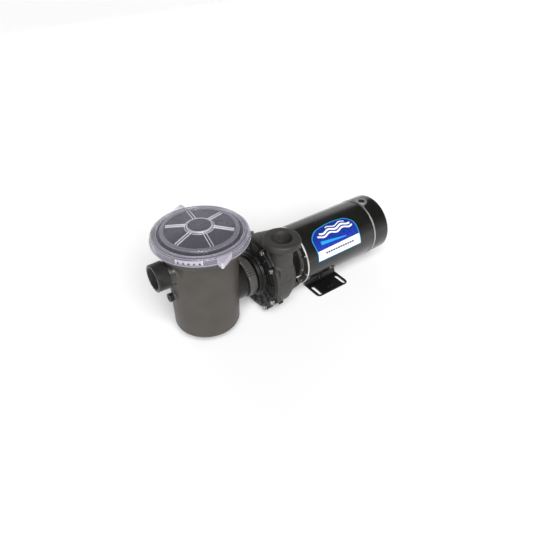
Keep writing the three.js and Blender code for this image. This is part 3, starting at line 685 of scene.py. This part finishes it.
def pot_plug():
    body = lathe([(0, 71), (5, 71), (5, 79.2), (9.5, 79.2), (9.5, 86.5, 1.2), (0, 86.5)], 64, 0.5)
    square = bevelled(block((-3.4, -3.4, 81), (3.4, 3.4, 92)), 0.4)
    plug = on_pot_plug(subtract(body, square))
    piece(plug, "pot_plug_fine", black_skin, POT, "pot_plug")
    seal = on_pot_plug(ring(5.4, 7.8, 77.3, 78.9, 48, 0.7))
    piece(seal, "pot_plug_seal_fine", rubber_skin, POT, "pot_plug_o_ring")


pot_plug()


# ---------------------------------------------------------------- basket
BASKET_BOTTOM = 32
BASKET_RIM = 225.3
BAIL_HEIGHT = 229.6
BAIL_R = 69


def basket():
    """A tapered cup with rows of slots in its side and rings of slots in its floor."""
    shell = lathe([
        (0, BASKET_BOTTOM), (59, BASKET_BOTTOM, 3), (68.3, 221, 1), (68.3, 222.3), (82.5, 222.3),
        (82.5, BASKET_RIM), (66, BASKET_RIM, 1.5), (57, BASKET_BOTTOM + 2.5, 3), (0, BASKET_BOTTOM + 2.5),
    ], 96)
    tools = []
    for row in range(5):
        low = 46 + 33 * row
        slots = [spun(block((48, -3.6, low), (76, 3.6, low + 26)), 12 * i) for i in range(30)]
        tools.append(gathered(slots))
    for low, high, count in ((12, 26, 8), (32, 50, 16)):
        slots = [spun(block((low, -2.2, 20), (high, 2.2, 44)), 360 * i / count) for i in range(count)]
        tools.append(gathered(slots))
    tools.append(on_inlet(disc(25, 40, 80)))
    low, high = BASKET_RIM - 1.5, BASKET_RIM + 8.5
    ears = [bevelled(block((-6, y - 2.5, low), (6, y + 2.5, high)), 1.2) for y in (-75.5, 75.5)]
    body = union(shell, *ears)
    eyes = shifted(spun(disc(3, -90, 90, 32), 90, "X"), z=BAIL_HEIGHT)
    body = subtract(body, *tools, eyes)
    piece(body, "basket_fine", basket_skin, POT, "strainer_basket")


def gathered(objects):
    """Several separate shapes as one object."""
    first, *rest = objects
    body = bmesh.new()
    for obj in objects:
        body.from_mesh(obj.data)
    body.to_mesh(first.data)
    body.free()
    for obj in rest:
        bpy.data.objects.remove(obj)
    return first


def swept(path, radius, sides=16):
    """A round bar along a path of points, closed at its ends."""
    vertices, faces = [], []
    for i, point in enumerate(path):
        ahead = (path[min(i + 1, len(path) - 1)] - path[max(i - 1, 0)]).normalized()
        up = Vector((0, 0, 1))
        side = ahead.cross(up).normalized()
        for k in range(sides):
            c, s = polar(radius, 360 * k / sides)
            vertices.append(point + side * c + up * s)
    for i in range(len(path) - 1):
        for k in range(sides):
            a, b = i * sides + k, i * sides + (k + 1) % sides
            faces.append([a, b, b + sides, a + sides])
    faces += [list(range(sides))[::-1], list(range(len(vertices) - sides, len(vertices)))]
    return new_object("swept", vertices, faces)


def basket_handle():
    """A bail from ear to ear, thicker at its grip, with a pin at each end."""
    parts = []
    for start, sweep, steps, thick in ((-90, 180, 45, 2.2), (-22, 44, 11, 3.0)):
        path = [Vector((*spot, BAIL_HEIGHT)) for spot in along_arc(BAIL_R, start, sweep, steps)]
        parts.append(swept(path, thick))
    for y in (-BAIL_R - 4, BAIL_R + 4):
        parts.append(shifted(spun(disc(2.2, -6, 6, 24, 0.4), 90, "X"), y=y, z=BAIL_HEIGHT))
    handle = union(*parts)
    piece(handle, "basket_handle_fine", basket_skin, POT, "basket_handle")


basket()
basket_handle()


# ---------------------------------------------------------------- lid and lock ring
LID_R = 88


def lid():
    """A clear dome with a raised hub and rings moulded under it, and ribs and edges on top in lighter copies
    of its plastic, which paint their highlights.
    """
    ridges = []
    for r in (64, 58, 52, 46, 40, 34):
        z = 255.2 + (77 - r) * 3.7 / 22 if r > 55 else 258.9 + (55 - r) * 3.4 / 31
        ridges += [(r + 0.9, z, 0.3), (r, z - 0.7, 0.3), (r - 0.9, z + 0.05, 0.3)]
    shell = lathe([
        (0, LID_TOP - 0.6), (24, LID_TOP - 0.6, 1), (27, LID_TOP - 3.2, 0.8), (30, LID_TOP - 3.6, 1),
        (68, 258.6, 2), (79, 257.2, 2), (81.5, 254.8, 2), (LID_R - 0.4, 252.6, 1.5), (LID_R, 247.2, 0.8),
        (96.2, 247.2, 0.5), (96.2, POT_RIM + 0.3, 0.5), (83.4, POT_RIM + 0.3, 0.5), (83.4, 236.5, 0.5),
        (79.4, 236.5, 0.5), (79.4, 252, 1.5), (77, 255.2, 1.5), *ridges, (30, LID_TOP - 7, 0.8),
        (24, LID_TOP - 4.6, 1), (0, LID_TOP - 4.3),
    ], FINE, 0.8)
    piece(shell, "lid_fine", clear_lid, POT, "lid")
    ribs = []
    for i in range(6):
        for side in (-2.9, 2.9):
            rib = prism([(28, 262), (69.5, 257), (69.5, 259.9), (66, 260.4), (28, 265.1)], -0.55, 0.55)
            ribs.append(spun(shifted(spun(rib, 90, "X"), y=side), 20 + 60 * i))
    # The ribs take the lighter clear plastic: their bright lines are painted highlights.
    piece(bevelled(gathered(ribs), 0.25, 2), "lid_ribs", clear_highlight, POT, "lid", whole=False)
    rings = [
        lathe([(23.4, LID_TOP - 1.2), (23.8, LID_TOP, 0.5), (25.6, LID_TOP, 0.8), (27.6, LID_TOP - 3, 0.5),
               (26, LID_TOP - 3.4, 0.3)], 96, 0.3),
        lathe([(28.6, 262.9), (29, 263.9, 0.4), (30.4, 263.9, 0.4), (31, 262.6)], 96, 0.3),
        lathe([(88.2, 252), (88.2, 252.9, 0.3), (87.2, 253.3, 0.3), (86.8, 252.5)], FINE, 0.2),
    ]
    # Thin rings at the hub and round the edge, in the lighter clear plastic: painted highlight lines.
    piece(gathered(rings), "lid_rings", clear_highlight, POT, "lid", whole=False)
    # The raised rim takes a lighter copy of the lid's plastic: a painted highlight band.
    rim = lathe([(71, 258), (71.8, 259.8, 0.8), (78.8, 259.4, 1.4), (80.6, 256, 1), (78, 256.4)], FINE, 0.4)
    piece(rim, "lid_rim", clear_rim_highlight, POT, "lid", whole=False)
    seal = ring(87.6, 90.4, 240.8, 243.6, FINE, 1.3)
    piece(seal, "lid_seal_fine", rubber_skin, POT, "lid_o_ring")


def gripping_tab():
    root, reach, low, top = 98.6, 116.6, RING_LOW.z, RING_HIGH.z
    corners = [polar(root, -3), polar(reach, -0.9), polar(reach, 0.9), polar(root, 17)]
    tab = prism(rounded(corners, 1.6), low, top - 3)
    for vertex in tab.data.vertices:
        if vertex.co.z > low + 1:
            vertex.co.z += 2 * max(0.0, 1 - (math.hypot(vertex.co.x, vertex.co.y) - root) / (reach - root))
    return bevelled(tab, 0.7)


def lock_ring():
    low, top = RING_LOW.z, RING_HIGH.z
    rim = lathe([
        (89.2, 247.5, 0.5), (97.6, 247.5, 0.6), (97.6, low, 0.5), (102, low, 0.7), (102, low + 2.4, 0.7),
        (99.4, low + 3.4, 0.5), (99.2, top - 2.4, 1.6), (97, top, 1.2), (90.4, top, 1),
        (89.2, top - 1.2, 0.6),
    ], FINE)
    piece(rim, "lock_ring_fine", clear_ring, POT, "lock_ring")
    # Thin rings of the lighter clear plastic along the ring's edges: painted highlight lines, not parts of the
    # ring.
    lines = []
    for r, z in ((89.6, top - 0.6), (96.3, top - 0.7), (98.6, top - 3), (101.2, low + 2.1)):
        lines.append(ring(r, r + 0.9, z, z + 0.9, FINE, 0.4))
    piece(gathered(lines), "lock_ring_highlight_lines", clear_highlight, POT, "lock_ring", whole=False)
    for number, turn in ((1, 0), (2, 180)):
        tab = spun(gripping_tab(), turn - 99)
        piece(tab, f"gripping_tab_{number}", frosted, POT, "lock_ring", whole=False)
        panel = bevelled(curved_bar(100, 98.7, turn - 148, 31, low + 3.6, top - 2.2, 16), 0.4)
        piece(panel, f"grip_panel_{number}", frosted, POT, "lock_ring", whole=False)
        teeth = []
        for k in range(5):
            tooth = prism([(-2.6, 0), (2.6, 0), (0, 4.2)], 99.7, 100.5)
            tooth = shifted(spun(spun(tooth, 90, "X"), 90), z=low + 5.4)
            teeth.append(spun(tooth, turn - 144.5 + 6 * k))
        piece(gathered(teeth), f"grip_marks_{number}", black_skin, POT, "lock_ring", whole=False)
    sweep = 30
    for i in range(LUGS):
        start = FIRST_LUG + 360 / LUGS * i - sweep / 2
        lug = bevelled(curved_bar(97.9, 94.4, start, sweep, low, low + 3), 0.4)
        piece(lug, f"ring_lug_{i + 1}", clear_ring, POT, "lock_ring", whole=False)


lid()
lock_ring()


# ---------------------------------------------------------------- union and volute, about the shaft
def union_nut():
    """A nut with groups of fine ribs between smooth grips, screwed over the tailpiece's collar."""
    ribs = 48
    groups = 3
    root = 43

    def shape(angle, r, _):
        gripped = min(1.0, max(0.0, 3 * math.cos(groups * angle)))
        groove = (0.5 + 0.5 * math.cos(ribs * angle)) ** 1.5
        return r - 2.4 * gripped * groove * min(1.0, max(0.0, r - root) / 2)

    low, high = NUT_LOW.x + 3.5, NUT_HIGH.x
    nut = lathe([
        (40.6, low, 0.6), (NUT_R - 1.6, low, 1.2), (NUT_R, low + 3, 1), (NUT_R, high - 3, 1),
        (NUT_R - 2.4, high, 1), (34.2, high, 0.6), (34.2, -84.1), (40.6, -84.1),
    ], 480, 0.5, shape)
    piece(nut, "union_nut_fine", nut_skin, SHAFT, "union_nut", angle=40)
    tail = lathe([
        (21, -91.4), (39.8, -91.4), (39.8, -84.4), (33.4, -84.4), (33.4, -60.7), (21, -60.7),
    ], FINE, 0.5)
    piece(tail, "union_tailpiece_fine", black_skin, SHAFT, "union_tailpiece")


def is_blind(angle):
    return BLIND[0] < angle < BLIND[1]


def bolt_end(angle):
    return -50.7 if is_blind(angle) else -34


def bolt_spots(make):
    return [shifted(make(angle), *polar(BOLT_CIRCLE, angle)) for angle in BOLT_ANGLES]


def screw_spots(make):
    return [shifted(make(), *polar(SCREW_CIRCLE, angle)) for angle in SCREW_ANGLES]


def volute_cover():
    plate = lathe([
        (33.8, -78, 0.8), (48, -78, 1.5), (50, -76, 0.8), (50, -71), (54.5, -70, 1), (55.5, COVER_FACE, 1),
        (64, COVER_FACE, 0.5), (64.6, COVER_FACE - 1.2, 0.5), (66.6, COVER_FACE - 1.2, 0.5),
        (67.2, COVER_FACE, 0.5), (75, COVER_FACE, 0.5), (75.6, COVER_FACE - 1.2, 0.5),
        (77.6, COVER_FACE - 1.2, 0.5), (78.2, COVER_FACE, 0.5), (86.4, COVER_FACE, 1.4),
        (87, CASING_FRONT - 0.3, 0.4), (76, CASING_FRONT - 0.3), (76, -54), (27, -54), (27, -57.3),
        (21, -57.3), (21, -60.3), (33.8, -60.3),
    ], FINE, 0.5)
    low, high = COVER_FACE - 3.2, COVER_FACE + 1
    ribs = [spun(block((53, -1.7, low), (81, 1.7, high)), 38.5 + 22.5 * i) for i in range(16)]
    bosses = bolt_spots(lambda _: disc(6.5, COVER_FACE - 0.2, CASING_FRONT - 0.3, edge=0.6))
    body = moulded(union(plate, *ribs, *bosses), VOXEL * 0.75, 3)
    holes = bolt_spots(lambda _: disc(3.6, -72, -50, 24))
    bores = [disc(20.9, -90, -40), disc(33.7, -80, -60.3, 96, 0.2)]
    body = subtract(body, *holes, *bores)
    piece(body, "volute_cover_fine", black_skin, SHAFT, "volute_cover")


def volute_cavity():
    """The spiral round the impeller, which widens all the way to the throat."""
    steps = 40
    outline = [polar(64 + 15 * k / steps, 140 - 320 * k / steps) for k in range(steps + 1)]
    return prism(outline, -57, -26)


def pie(radius, start, end, low, high):
    """A slice of a disc between two angles."""
    return prism([(0, 0), *along_arc(radius, start, end - start, 12)], low, high)


def bracket_windows():
    """The two side openings between the webs over and under the shaft."""
    return [
        pie(120, WEB_OVER[1], WEB_UNDER[0], 0, 50),
        pie(120, WEB_UNDER[1] - 360, WEB_OVER[0], -14, 50),
    ]


def volute_casing():
    """Volute, tangential discharge and motor bracket in one moulding."""
    body = lathe([
        (0, CASING_FRONT), (87, CASING_FRONT, 0.8), (87, -46, 1.5), (82, -45, 1.5), (82, -22, 5),
        (72.4, CASING_BACK, 1), (64.5, CASING_BACK), (64.5, -12), (60, -18), (0, -18),
    ])
    body = subtract(body, *bracket_windows())
    feet = [spun(bevelled(block((56, -9, 33), (69, 9, CASING_BACK)), 1.2), a) for a in SCREW_ANGLES]
    shoulder = intersect(disc(88, -50, -16, FINE, 3), block((-95, -55, -60), (-25, 12, 0)))
    top = COLLAR_TOP - SHAFT_Z
    pipe = on_discharge(lathe([
        (0, 0), (25.5, 0), (25.5, top - 26, 8), (40, top - 15, 2), (40, top - 8), (0, top - 8),
    ], 96))
    throat = prism([(-60, -30), (-60, 51), (-80, 51), (-85.5, 45), (-85.5, -10), (-82, -30)], -49, -14)
    drain = on_drain(disc(9, 70, 85.5, edge=1))
    bosses = bolt_spots(lambda _: disc(6.5, CASING_FRONT, -46, edge=0.6))
    body = moulded(union(body, *feet, shoulder, pipe, throat, drain, *bosses), VOXEL, 4)
    low = CASING_FRONT - 5
    tools = [
        volute_cavity(), on_discharge(disc(21.6, 2, 118, 96)), disc(76.5, low, -53.6, FINE),
        ring(77.8, 80.6, low, -54.2), disc(19, -30, -15),
        on_drain(disc(5.2, 66, 92)),
        *bolt_spots(lambda angle: disc(3.6, low, bolt_end(angle) + 0.7, 24)),
    ]
    tools += screw_spots(lambda: disc(3.2, 28, 46, 24))
    tools += screw_spots(lambda: disc(6.2, 8, 33, 32))
    open_behind = [angle for angle in BOLT_ANGLES if not is_blind(angle)]
    tools += [shifted(disc(7.4, -45.9, -37, 32), *polar(BOLT_CIRCLE, angle)) for angle in open_behind]
    body = subtract(body, *tools)
    piece(body, "volute_casing_fine", casing_skin, SHAFT, "volute_casing")


def discharge_collar():
    """The collar's smooth lip and the pipe thread inside it."""
    top = COLLAR_TOP - SHAFT_Z
    low, high = top - 24, top - 3
    inner = thread_rows(21.4, 22.4, low, high)[::-1]

    def shape(angle, r, z):
        return r + thread_wave(angle, z) if r <= BORE_R and low < z < high else r

    points = [(30, top - 20, 0.5), (36, top - 19, 2), (42, top - 14, 3), (42, top, 8), (23.6, top, 1.2)]
    points += [*inner, (21.2, low - 1, 0), (25, low - 1, 0)]
    collar = on_discharge(lathe(points, 120, 0.8, shape))
    # The collar takes a darker copy of the casing's plastic: painted shade.
    piece(collar, "discharge_collar", collar_painted_shade, SHAFT, "volute_casing", whole=False, angle=50)


def cover_bolts():
    """Flanged hexagon screws round the cover, each with its nut where the flange is open behind."""
    for i, angle in enumerate(BOLT_ANGLES):
        end = bolt_end(angle)
        head = hexagon(9.4, -70.2, -65.8)
        flange = lathe([(0, -65.9), (5.6, -65.9, 0.3), (5.9, -64.95, 0.2), (0, -64.95)], 48, 0.0)
        shank = disc(2.9, -66, end, 24, 0.4)
        parts = [head, flange, shank]
        if end > -40:
            parts.append(hexagon(10, -45.6, -39))
        bolt = shifted(union(*parts), *polar(BOLT_CIRCLE, angle))
        piece(bolt, f"cover_screw_{i + 1}", bolt_skin, SHAFT, f"cover_bolt_{i + 1}")


def volute_drain():
    body = lathe([(0, 75), (4.8, 75), (4.8, 87), (7.5, 87), (7.5, 91, 0.8), (0, 91)], 64, 0.4)
    wing = bevelled(block((-6, -1.8, 90), (6, 1.8, 95)), 0.8)
    plug = on_drain(union(body, wing))
    piece(plug, "volute_drain_plug_fine", black_skin, SHAFT, "volute_drain_plug")
    seal = on_drain(ring(5.2, 7.2, 85.8, 86.7, 48, 0.4))
    piece(seal, "volute_drain_seal_fine", rubber_skin, SHAFT, "volute_drain_o_ring")


union_nut()
volute_cover()
volute_casing()
discharge_collar()
cover_bolts()
volute_drain()

slinger = lathe([(8.5, 8), (12, 8), (12, 12), (24, 13), (24, 15), (8.5, 15)], 96, 0.6)
piece(slinger, "slinger_fine", rubber_skin, SHAFT, "shaft_slinger")
shaft = lathe([
    (0, -46.6), (7, -46.6, 0.3), (8, -45.6, 0.3), (8, 56, 0.4), (11, 56, 0.5), (11, 260, 0.5),
    (8, 260, 0.4), (8, 278, 0.5), (7, 279, 0.3), (0, 279),
], 64, 0.4)
piece(shaft, "motor_shaft_fine", shaft_skin, SHAFT, "motor_shaft")


# ---------------------------------------------------------------- motor
def motor_shell():
    """A rolled steel tube with a folded seam along its underside."""
    def shape(angle, r, z):
        seam = abs(math.degrees(angle) - 255)
        return r - 0.35 * max(0.0, 1 - seam / 1.6) if r > SHELL_R - 0.7 else r

    inner = SHELL_R - 1.4
    tube = lathe([
        (inner, SHELL_FRONT), (SHELL_R, SHELL_FRONT, 0.6), (SHELL_R, SHELL_BACK, 0.6), (inner, SHELL_BACK),
    ], 360, 0.4, shape)
    piece(tube, "motor_shell_fine", enamel, SHAFT, "motor_shell")


def through_holes(low, high):
    return [shifted(disc(2.9, low, high, 24), *polar(THROUGH_BOLT_CIRCLE, a)) for a in THROUGH_BOLT_ANGLES]


def front_bell():
    front = lathe([
        (9.6, 38), (46, 39, 0.6), (47, 35, 0.8), (53, 35, 0.8), (53, 41.5, 0.5), (70, 41.9, 0.4),
        (72.2, 41.5, 0.7), (72.2, SHELL_FRONT - 0.3, 0.5), (69.2, SHELL_FRONT - 0.3), (69.2, 52), (61, 46),
        (27, 45.5), (25, 55), (20.4, 55), (20.4, 42.4), (9.6, 42.4),
    ], FINE, 0.5)
    ribs = [spun(bevelled(block((50, -1.1, 37.6), (70.5, 1.1, 43)), 0.4), a) for a in range(-10, 350, 40)]
    edge = spun(bevelled(block((30, -1.2, 36), (71, 1.2, 43)), 0.3), BELL_EDGE_ANGLE)
    holes = screw_spots(lambda: disc(3.2, 30, 60, 24)) + through_holes(30, 60)
    front = subtract(union(front, edge, *ribs), *holes)
    piece(front, "front_bell_fine", front_bell_skin, SHAFT, "front_end_bell")


def rear_bell():
    """The rear bell, with the flared boss that the conduit comes in by."""
    rear = lathe([
        (11.6, 259), (20.4, 259), (20.4, 276), (25, 276), (27, 259.5), (72.2, 259, 0.8),
        (72.2, SHELL_BACK + 0.3, 0.6), (69.2, SHELL_BACK + 0.3), (69.2, 250), (62, 255), (11.6, 256),
    ], FINE, 0.5)
    boss = on_conduit(disc(14, 52, 73.6, 64, 0.8))
    outline = [(-24, 256), (24, 256), (13.4, 266), (13.4, CONDUIT_X), (-13.4, CONDUIT_X), (-13.4, 266)]
    bridge = spun(prism(rounded(outline, 5), -73, -52), 90, "X")
    hole = on_conduit(disc(8.3, 45, 80, 48))
    rear = subtract(union(rear, boss, bridge), hole, *through_holes(240, 280))
    piece(rear, "rear_bell_fine", rim_metal, SHAFT, "rear_end_bell")


def end_cap():
    """A drawn canopy with louvres low on its end and a notch round the conduit boss."""
    canopy = lathe([
        (0, CAP_END - 1.6), (68.4, CAP_END - 1.6, 3), (70, 259.4, 0.3), (71.4, 259.4, 0.5),
        (71.4, CAP_END - 1, 5), (69.5, CAP_END, 3), (0, CAP_END),
    ], 192, 0.5)
    half = 14.6
    outline = [
        (-27, 250), (27, 250), (27, 257.5), (half, 266.5), (half, CONDUIT_X), (-half, CONDUIT_X),
        (-half, 266.5), (-27, 257.5),
    ]
    notch = spun(prism(rounded(outline, 4), -80, -50), 90, "X")
    end = on_conduit(disc(half, 50, 80, 64))
    vents = [bevelled(block((-16, -44 + 9 * i, 290), (16, -40 + 9 * i, 310)), 1.6) for i in (-1, 0, 1)]
    canopy = subtract(canopy, union(notch, end), *vents)
    piece(canopy, "end_cap_fine", enamel, SHAFT, "end_cap")


def conduit_plug():
    body = lathe([(0, 62), (8, 62), (8, 73.2, 0.6), (5.6, 73.2, 0.4), (5, 71.6, 0.4), (0, 71.6)], 64, 0.3)
    piece(on_conduit(body), "conduit_plug_fine", black_skin, SHAFT, "conduit_plug")


def bracket_screw():
    return union(hexagon(8.6, 27.5, 31.6), disc(5.6, 31.5, 32.7, 48, 0.3), disc(2.6, 31, 50, 24, 0.3))


def bracket_screws():
    for i, screw in enumerate(screw_spots(bracket_screw)):
        piece(screw, f"bracket_screw_fine_{i + 1}", steel_skin, SHAFT, f"bracket_screw_{i + 1}")


motor_shell()
front_bell()
rear_bell()
end_cap()
conduit_plug()
bracket_screws()


# ---------------------------------------------------------------- label
LABEL_OUTLINE = [                 # distance along the motor, and round it from the level of the shaft
    (73.5, 9.5, 2), (75, 30, 10), (69, 66, 14), (90, 84.5, 16), (142, 92, 40), (186, 87, 22), (206, 70, 14),
    (208, 45, 12), (208.5, 10, 2),
]


def wrapped(outline, low, high, name):
    """A thin film laid round the shell, whose points keep their flat places as an attribute."""
    sheet = prism(outline, 0.0, 1.0, name)
    body = bmesh.new()
    body.from_mesh(sheet.data)
    flat = body.verts.layers.float_vector.new("flat_place")
    for k in range(1, 40):
        cut = body.verts[:] + body.edges[:] + body.faces[:]
        bmesh.ops.bisect_plane(body, geom=cut, plane_co=(0, 2.4 * k, 0), plane_no=(0, 1, 0))
    for vertex in body.verts:
        x, s, lift = vertex.co
        vertex[flat] = (x / 100, s / 100, 0)
        radius = low + (high - low) * lift
        angle = s / SHELL_R
        vertex.co = (-radius * math.cos(angle), radius * math.sin(angle), x)
    bmesh.ops.recalc_face_normals(body, faces=body.faces)
    body.to_mesh(sheet.data)
    body.free()
    return sheet


def inset(outline, margin):
    xs, ys = [p.x for p in outline], [p.y for p in outline]
    middle = Vector(((min(xs) + max(xs)) / 2, (min(ys) + max(ys)) / 2))
    shrink = Vector((1 - 2 * margin / (max(xs) - min(xs)), 1 - 2 * margin / (max(ys) - min(ys))))
    return [middle + Vector(((p.x - middle.x) * shrink.x, (p.y - middle.y) * shrink.y)) for p in outline]


def label_print():
    """A blue field with a light swoosh and white waves, over a white band with two rows of dark dashes."""
    g = Graph("label_print")
    place = g.add("ShaderNodeAttribute", attribute_name="flat_place")
    split = g.add("ShaderNodeSeparateXYZ", {0: place.outputs["Vector"]})
    x = g.math("MULTIPLY", split.outputs["X"], 100)
    s = g.math("MULTIPLY", split.outputs["Y"], 100)

    def between(value, low, high):
        return g.math("MULTIPLY", g.math("GREATER_THAN", value, low), g.math("LESS_THAN", value, high))

    def stroke(centre, half, low, high):
        off = g.math("ABSOLUTE", g.math("SUBTRACT", s, centre))
        return g.math("MULTIPLY", g.math("LESS_THAN", off, half), between(x, low, high))

    field = g.patchy(s, 38, 86, (0.009, 0.03, 0.3), (0.008, 0.022, 0.2))
    droop = g.math("SUBTRACT", 58.3, g.math("MULTIPLY", x, 0.085))
    taper = g.ranged(x, 90, 168, 4.2, 1.0)
    swoosh = stroke(droop, taper, 92, 168)
    colour = g.mixed(swoosh, field, (0.015, 0.3, 0.7))
    for centre, half, low, high in ((64, 2.0, 90, 196), (72, 2.3, 98, 192), (79.5, 1.2, 122, 180)):
        wave = g.math("MULTIPLY", g.math("SINE", g.math("MULTIPLY", x, 0.16)), 2.6)
        colour = g.mixed(stroke(g.math("ADD", wave, centre), half, low, high), colour, (0.86, 0.87, 0.88))
    divide = g.math("ADD", g.math("MULTIPLY", x, 0.018), 33.2)
    colour = g.mixed(g.math("LESS_THAN", s, divide), colour, (0.86, 0.87, 0.88))
    dash = g.math("LESS_THAN", g.math("FRACT", g.math("DIVIDE", x, 7.5)), 0.78)
    for centre, half, low, high in ((25, 2.4, 98, 186), (18.2, 0.7, 112, 172)):
        row = g.math("MULTIPLY", stroke(centre, half, low, high), dash)
        colour = g.mixed(row, colour, (0.01, 0.02, 0.14))
    scuff = g.noise(300, 5)
    g.set(
        Base_Color=colour,
        Roughness=g.ranged(scuff, 0.35, 0.7, 0.24, 0.4),
        Normal=g.bump(scuff, 0.03, 0.0003),
        Specular_IOR_Level=0.35,
    )
    return g.material


def label_edge():
    g = Graph("label_edge")
    wear = g.noise(200, 4)
    g.set(
        Base_Color=g.patchy(wear, 0.4, 0.7, (0.016, 0.27, 0.55), (0.02, 0.34, 0.64)),
        Roughness=g.ranged(wear, 0.3, 0.7, 0.25, 0.38),
        Normal=g.bump(wear, 0.03, 0.0003),
    )
    return g.material


def label():
    outline = rounded(LABEL_OUTLINE, 4, 8)
    border = wrapped(outline, SHELL_R + 0.36, SHELL_R + 0.72, "label_border")
    face = wrapped(inset(outline, 2.1), SHELL_R + 0.55, SHELL_R + 0.9, "label_face")
    piece(border, "label_border", label_edge(), SHAFT, "label")
    piece(face, "label_face", label_print(), SHAFT, "label", whole=False)


label()


# ---------------------------------------------------------------- base
def motor_base():
    """A pressed cradle on two slotted feet, with a pair of stiffening ribs on each."""
    rest = SHELL_R + 0.3
    half = (BASE_HIGH.x - BASE_LOW.x) / 2
    wide = BASE_HIGH.y
    sheet = 3.2

    def arc(radius, start, end, steps=24):
        turned = [polar(radius, start + (end - start) * i / steps) for i in range(steps + 1)]
        return [(y, z + SHAFT_Z) for y, z in turned]

    section = [
        (-wide, 0), (-wide, sheet), (-31, sheet), *arc(rest + 0.4, 250.5, 289.5), (31, sheet),
        (wide, sheet), (wide, 0), (27.5, 0), *arc(rest + sheet, 287.5, 252.5), (-27.5, 0),
    ]
    body = prism(section, -half, half)
    body = spun(spun(body, 90, "X"), 90, "Z")
    slots = []
    for along in (-1, 1):
        for across in (-1, 1):
            ends = [polar(4.35, a) for a in range(0, 181, 15)]
            outline = [(x, y + 13.15) for x, y in ends] + [(-x, -y - 13.15) for x, y in ends]
            slots.append(shifted(prism(outline, -2, 6), 38.1 * along, 61.9 * across))
    footprint = rounded([(-half, -wide), (half, -wide), (half, wide), (-half, wide)], 12, 8)
    body = intersect(body, prism(footprint, -2, 40))
    ribs = []
    for side in (-1, 1):
        for offset in (-5, 5):
            outline = [(side * 30, 1), (side * 70, 1), (side * 69, sheet + 3.4), (side * 36, sheet + 5.5),
                       (side * 29, 15), (side * 26.5, 16)]
            ribs.append(spun(spun(prism(outline, offset - 1.8, offset + 1.8), 90, "X"), 90, "Z"))
    body = moulded(union(body, *ribs), VOXEL * 0.7, 3)
    body = subtract(body, *slots)
    piece(shifted(body, x=BASE_X), "motor_base_fine", base_enamel, WORLD, "motor_base")


motor_base()


# ---------------------------------------------------------------- seals, and the CAD nodes that stay
def seal_ring(node, name, radius, thick, middle):
    half = thick / 2
    body = ring(radius - half, radius + half, middle - half, middle + half, FINE, half * 0.9)
    piece(body, name, rubber_skin, SHAFT, node)


seal_ring("union_o_ring", "union_seal_fine", 27.5, 2, -92.8)
seal_ring("casing_o_ring", "casing_seal_fine", 79.2, 1.7, -55.3)

SLOT_SKINS = {
    "pot_plastic": pot_skin, "casing_plastic": casing_skin, "black_plastic": black_skin,
    "basket_plastic": basket_skin, "white_plastic": white_skin, "clear_plastic": clear_lid,
    "rubber": rubber_skin, "black_paint": enamel, "cast_aluminium": rim_metal, "steel": steel_skin,
    "core_steel": core_skin, "copper": wire_skin, "ceramic": ceramic_skin,
}
for name, slot in SLOT_OF.items():
    node = frame["nodes"][name]
    if not node.hide_render and slot in SLOT_SKINS:
        node.data.materials.clear()
        node.data.materials.append(SLOT_SKINS[slot])


# ---------------------------------------------------------------- floor, light and camera
def floor():
    g = Graph("pale_floor")
    g.set(Base_Color=(0.93, 0.93, 0.93, 1), Roughness=0.75, Specular_IOR_Level=0.2)
    reach = 40
    corners = [(-reach, -reach), (reach, -reach), (reach, reach), (-reach, reach)]
    slab = prism(corners, -0.02, -0.0003, "floor")
    slab.data.materials.append(g.material)


def aimed(name, data, place, target):
    """Puts a light or a camera at a place, facing a target."""
    obj = bpy.data.objects.new(name, data)
    bpy.context.scene.collection.objects.link(obj)
    obj.location = place
    obj.rotation_euler = (Vector(target) - Vector(place)).to_track_quat("-Z", "Y").to_euler()
    return obj


def strip_light():
    """A long soft box behind the motor, for the highlight along its top."""
    data = bpy.data.lights.new("rim", "AREA")
    data.shape = "RECTANGLE"
    data.size = 4.5
    data.size_y = 1.5
    data.energy = 15
    aimed("rim", data, (1.1, 2.4, 1.3), (1.1, 0, 0.1))


def key_light():
    """Broad light from the left, over the camera's shoulder."""
    data = bpy.data.lights.new("key", "SUN")
    data.energy = 4.2
    data.angle = math.radians(50)
    aimed("key", data, (0, 0, 0), (0.45, 0.95, -1.0))


def studio_world():
    """White light from all round, brighter near the floor than overhead."""
    world = bpy.data.worlds.new("studio")
    bpy.context.scene.world = world
    world.use_nodes = True
    tree = world.node_tree
    place = tree.nodes.new("ShaderNodeTexCoord")
    height = tree.nodes.new("ShaderNodeSeparateXYZ")
    fade = tree.nodes.new("ShaderNodeMapRange")
    background = tree.nodes["Background"]
    tree.links.new(place.outputs["Generated"], height.inputs[0])
    tree.links.new(height.outputs["Z"], fade.inputs["Value"])
    for name, value in (("From Min", 0.05), ("From Max", 0.45), ("To Min", 0.6), ("To Max", 0.12)):
        fade.inputs[name].default_value = value
    background.inputs["Color"].default_value = (1, 1, 1, 1)
    tree.links.new(fade.outputs["Result"], background.inputs["Strength"])


def photo_camera():
    lens = bpy.data.cameras.new("camera")
    lens.lens = 34.98
    lens.sensor_width = 36
    lens.clip_start = 0.01
    eye = Vector((-0.58570, -0.77573, 0.82841))
    target = Vector((-0.02515, 0, 0.08743))
    bpy.context.scene.camera = aimed("camera", lens, eye, target)


floor()
strip_light()
key_light()
studio_world()
photo_camera()
bpy.context.scene.view_settings.view_transform = "Standard"
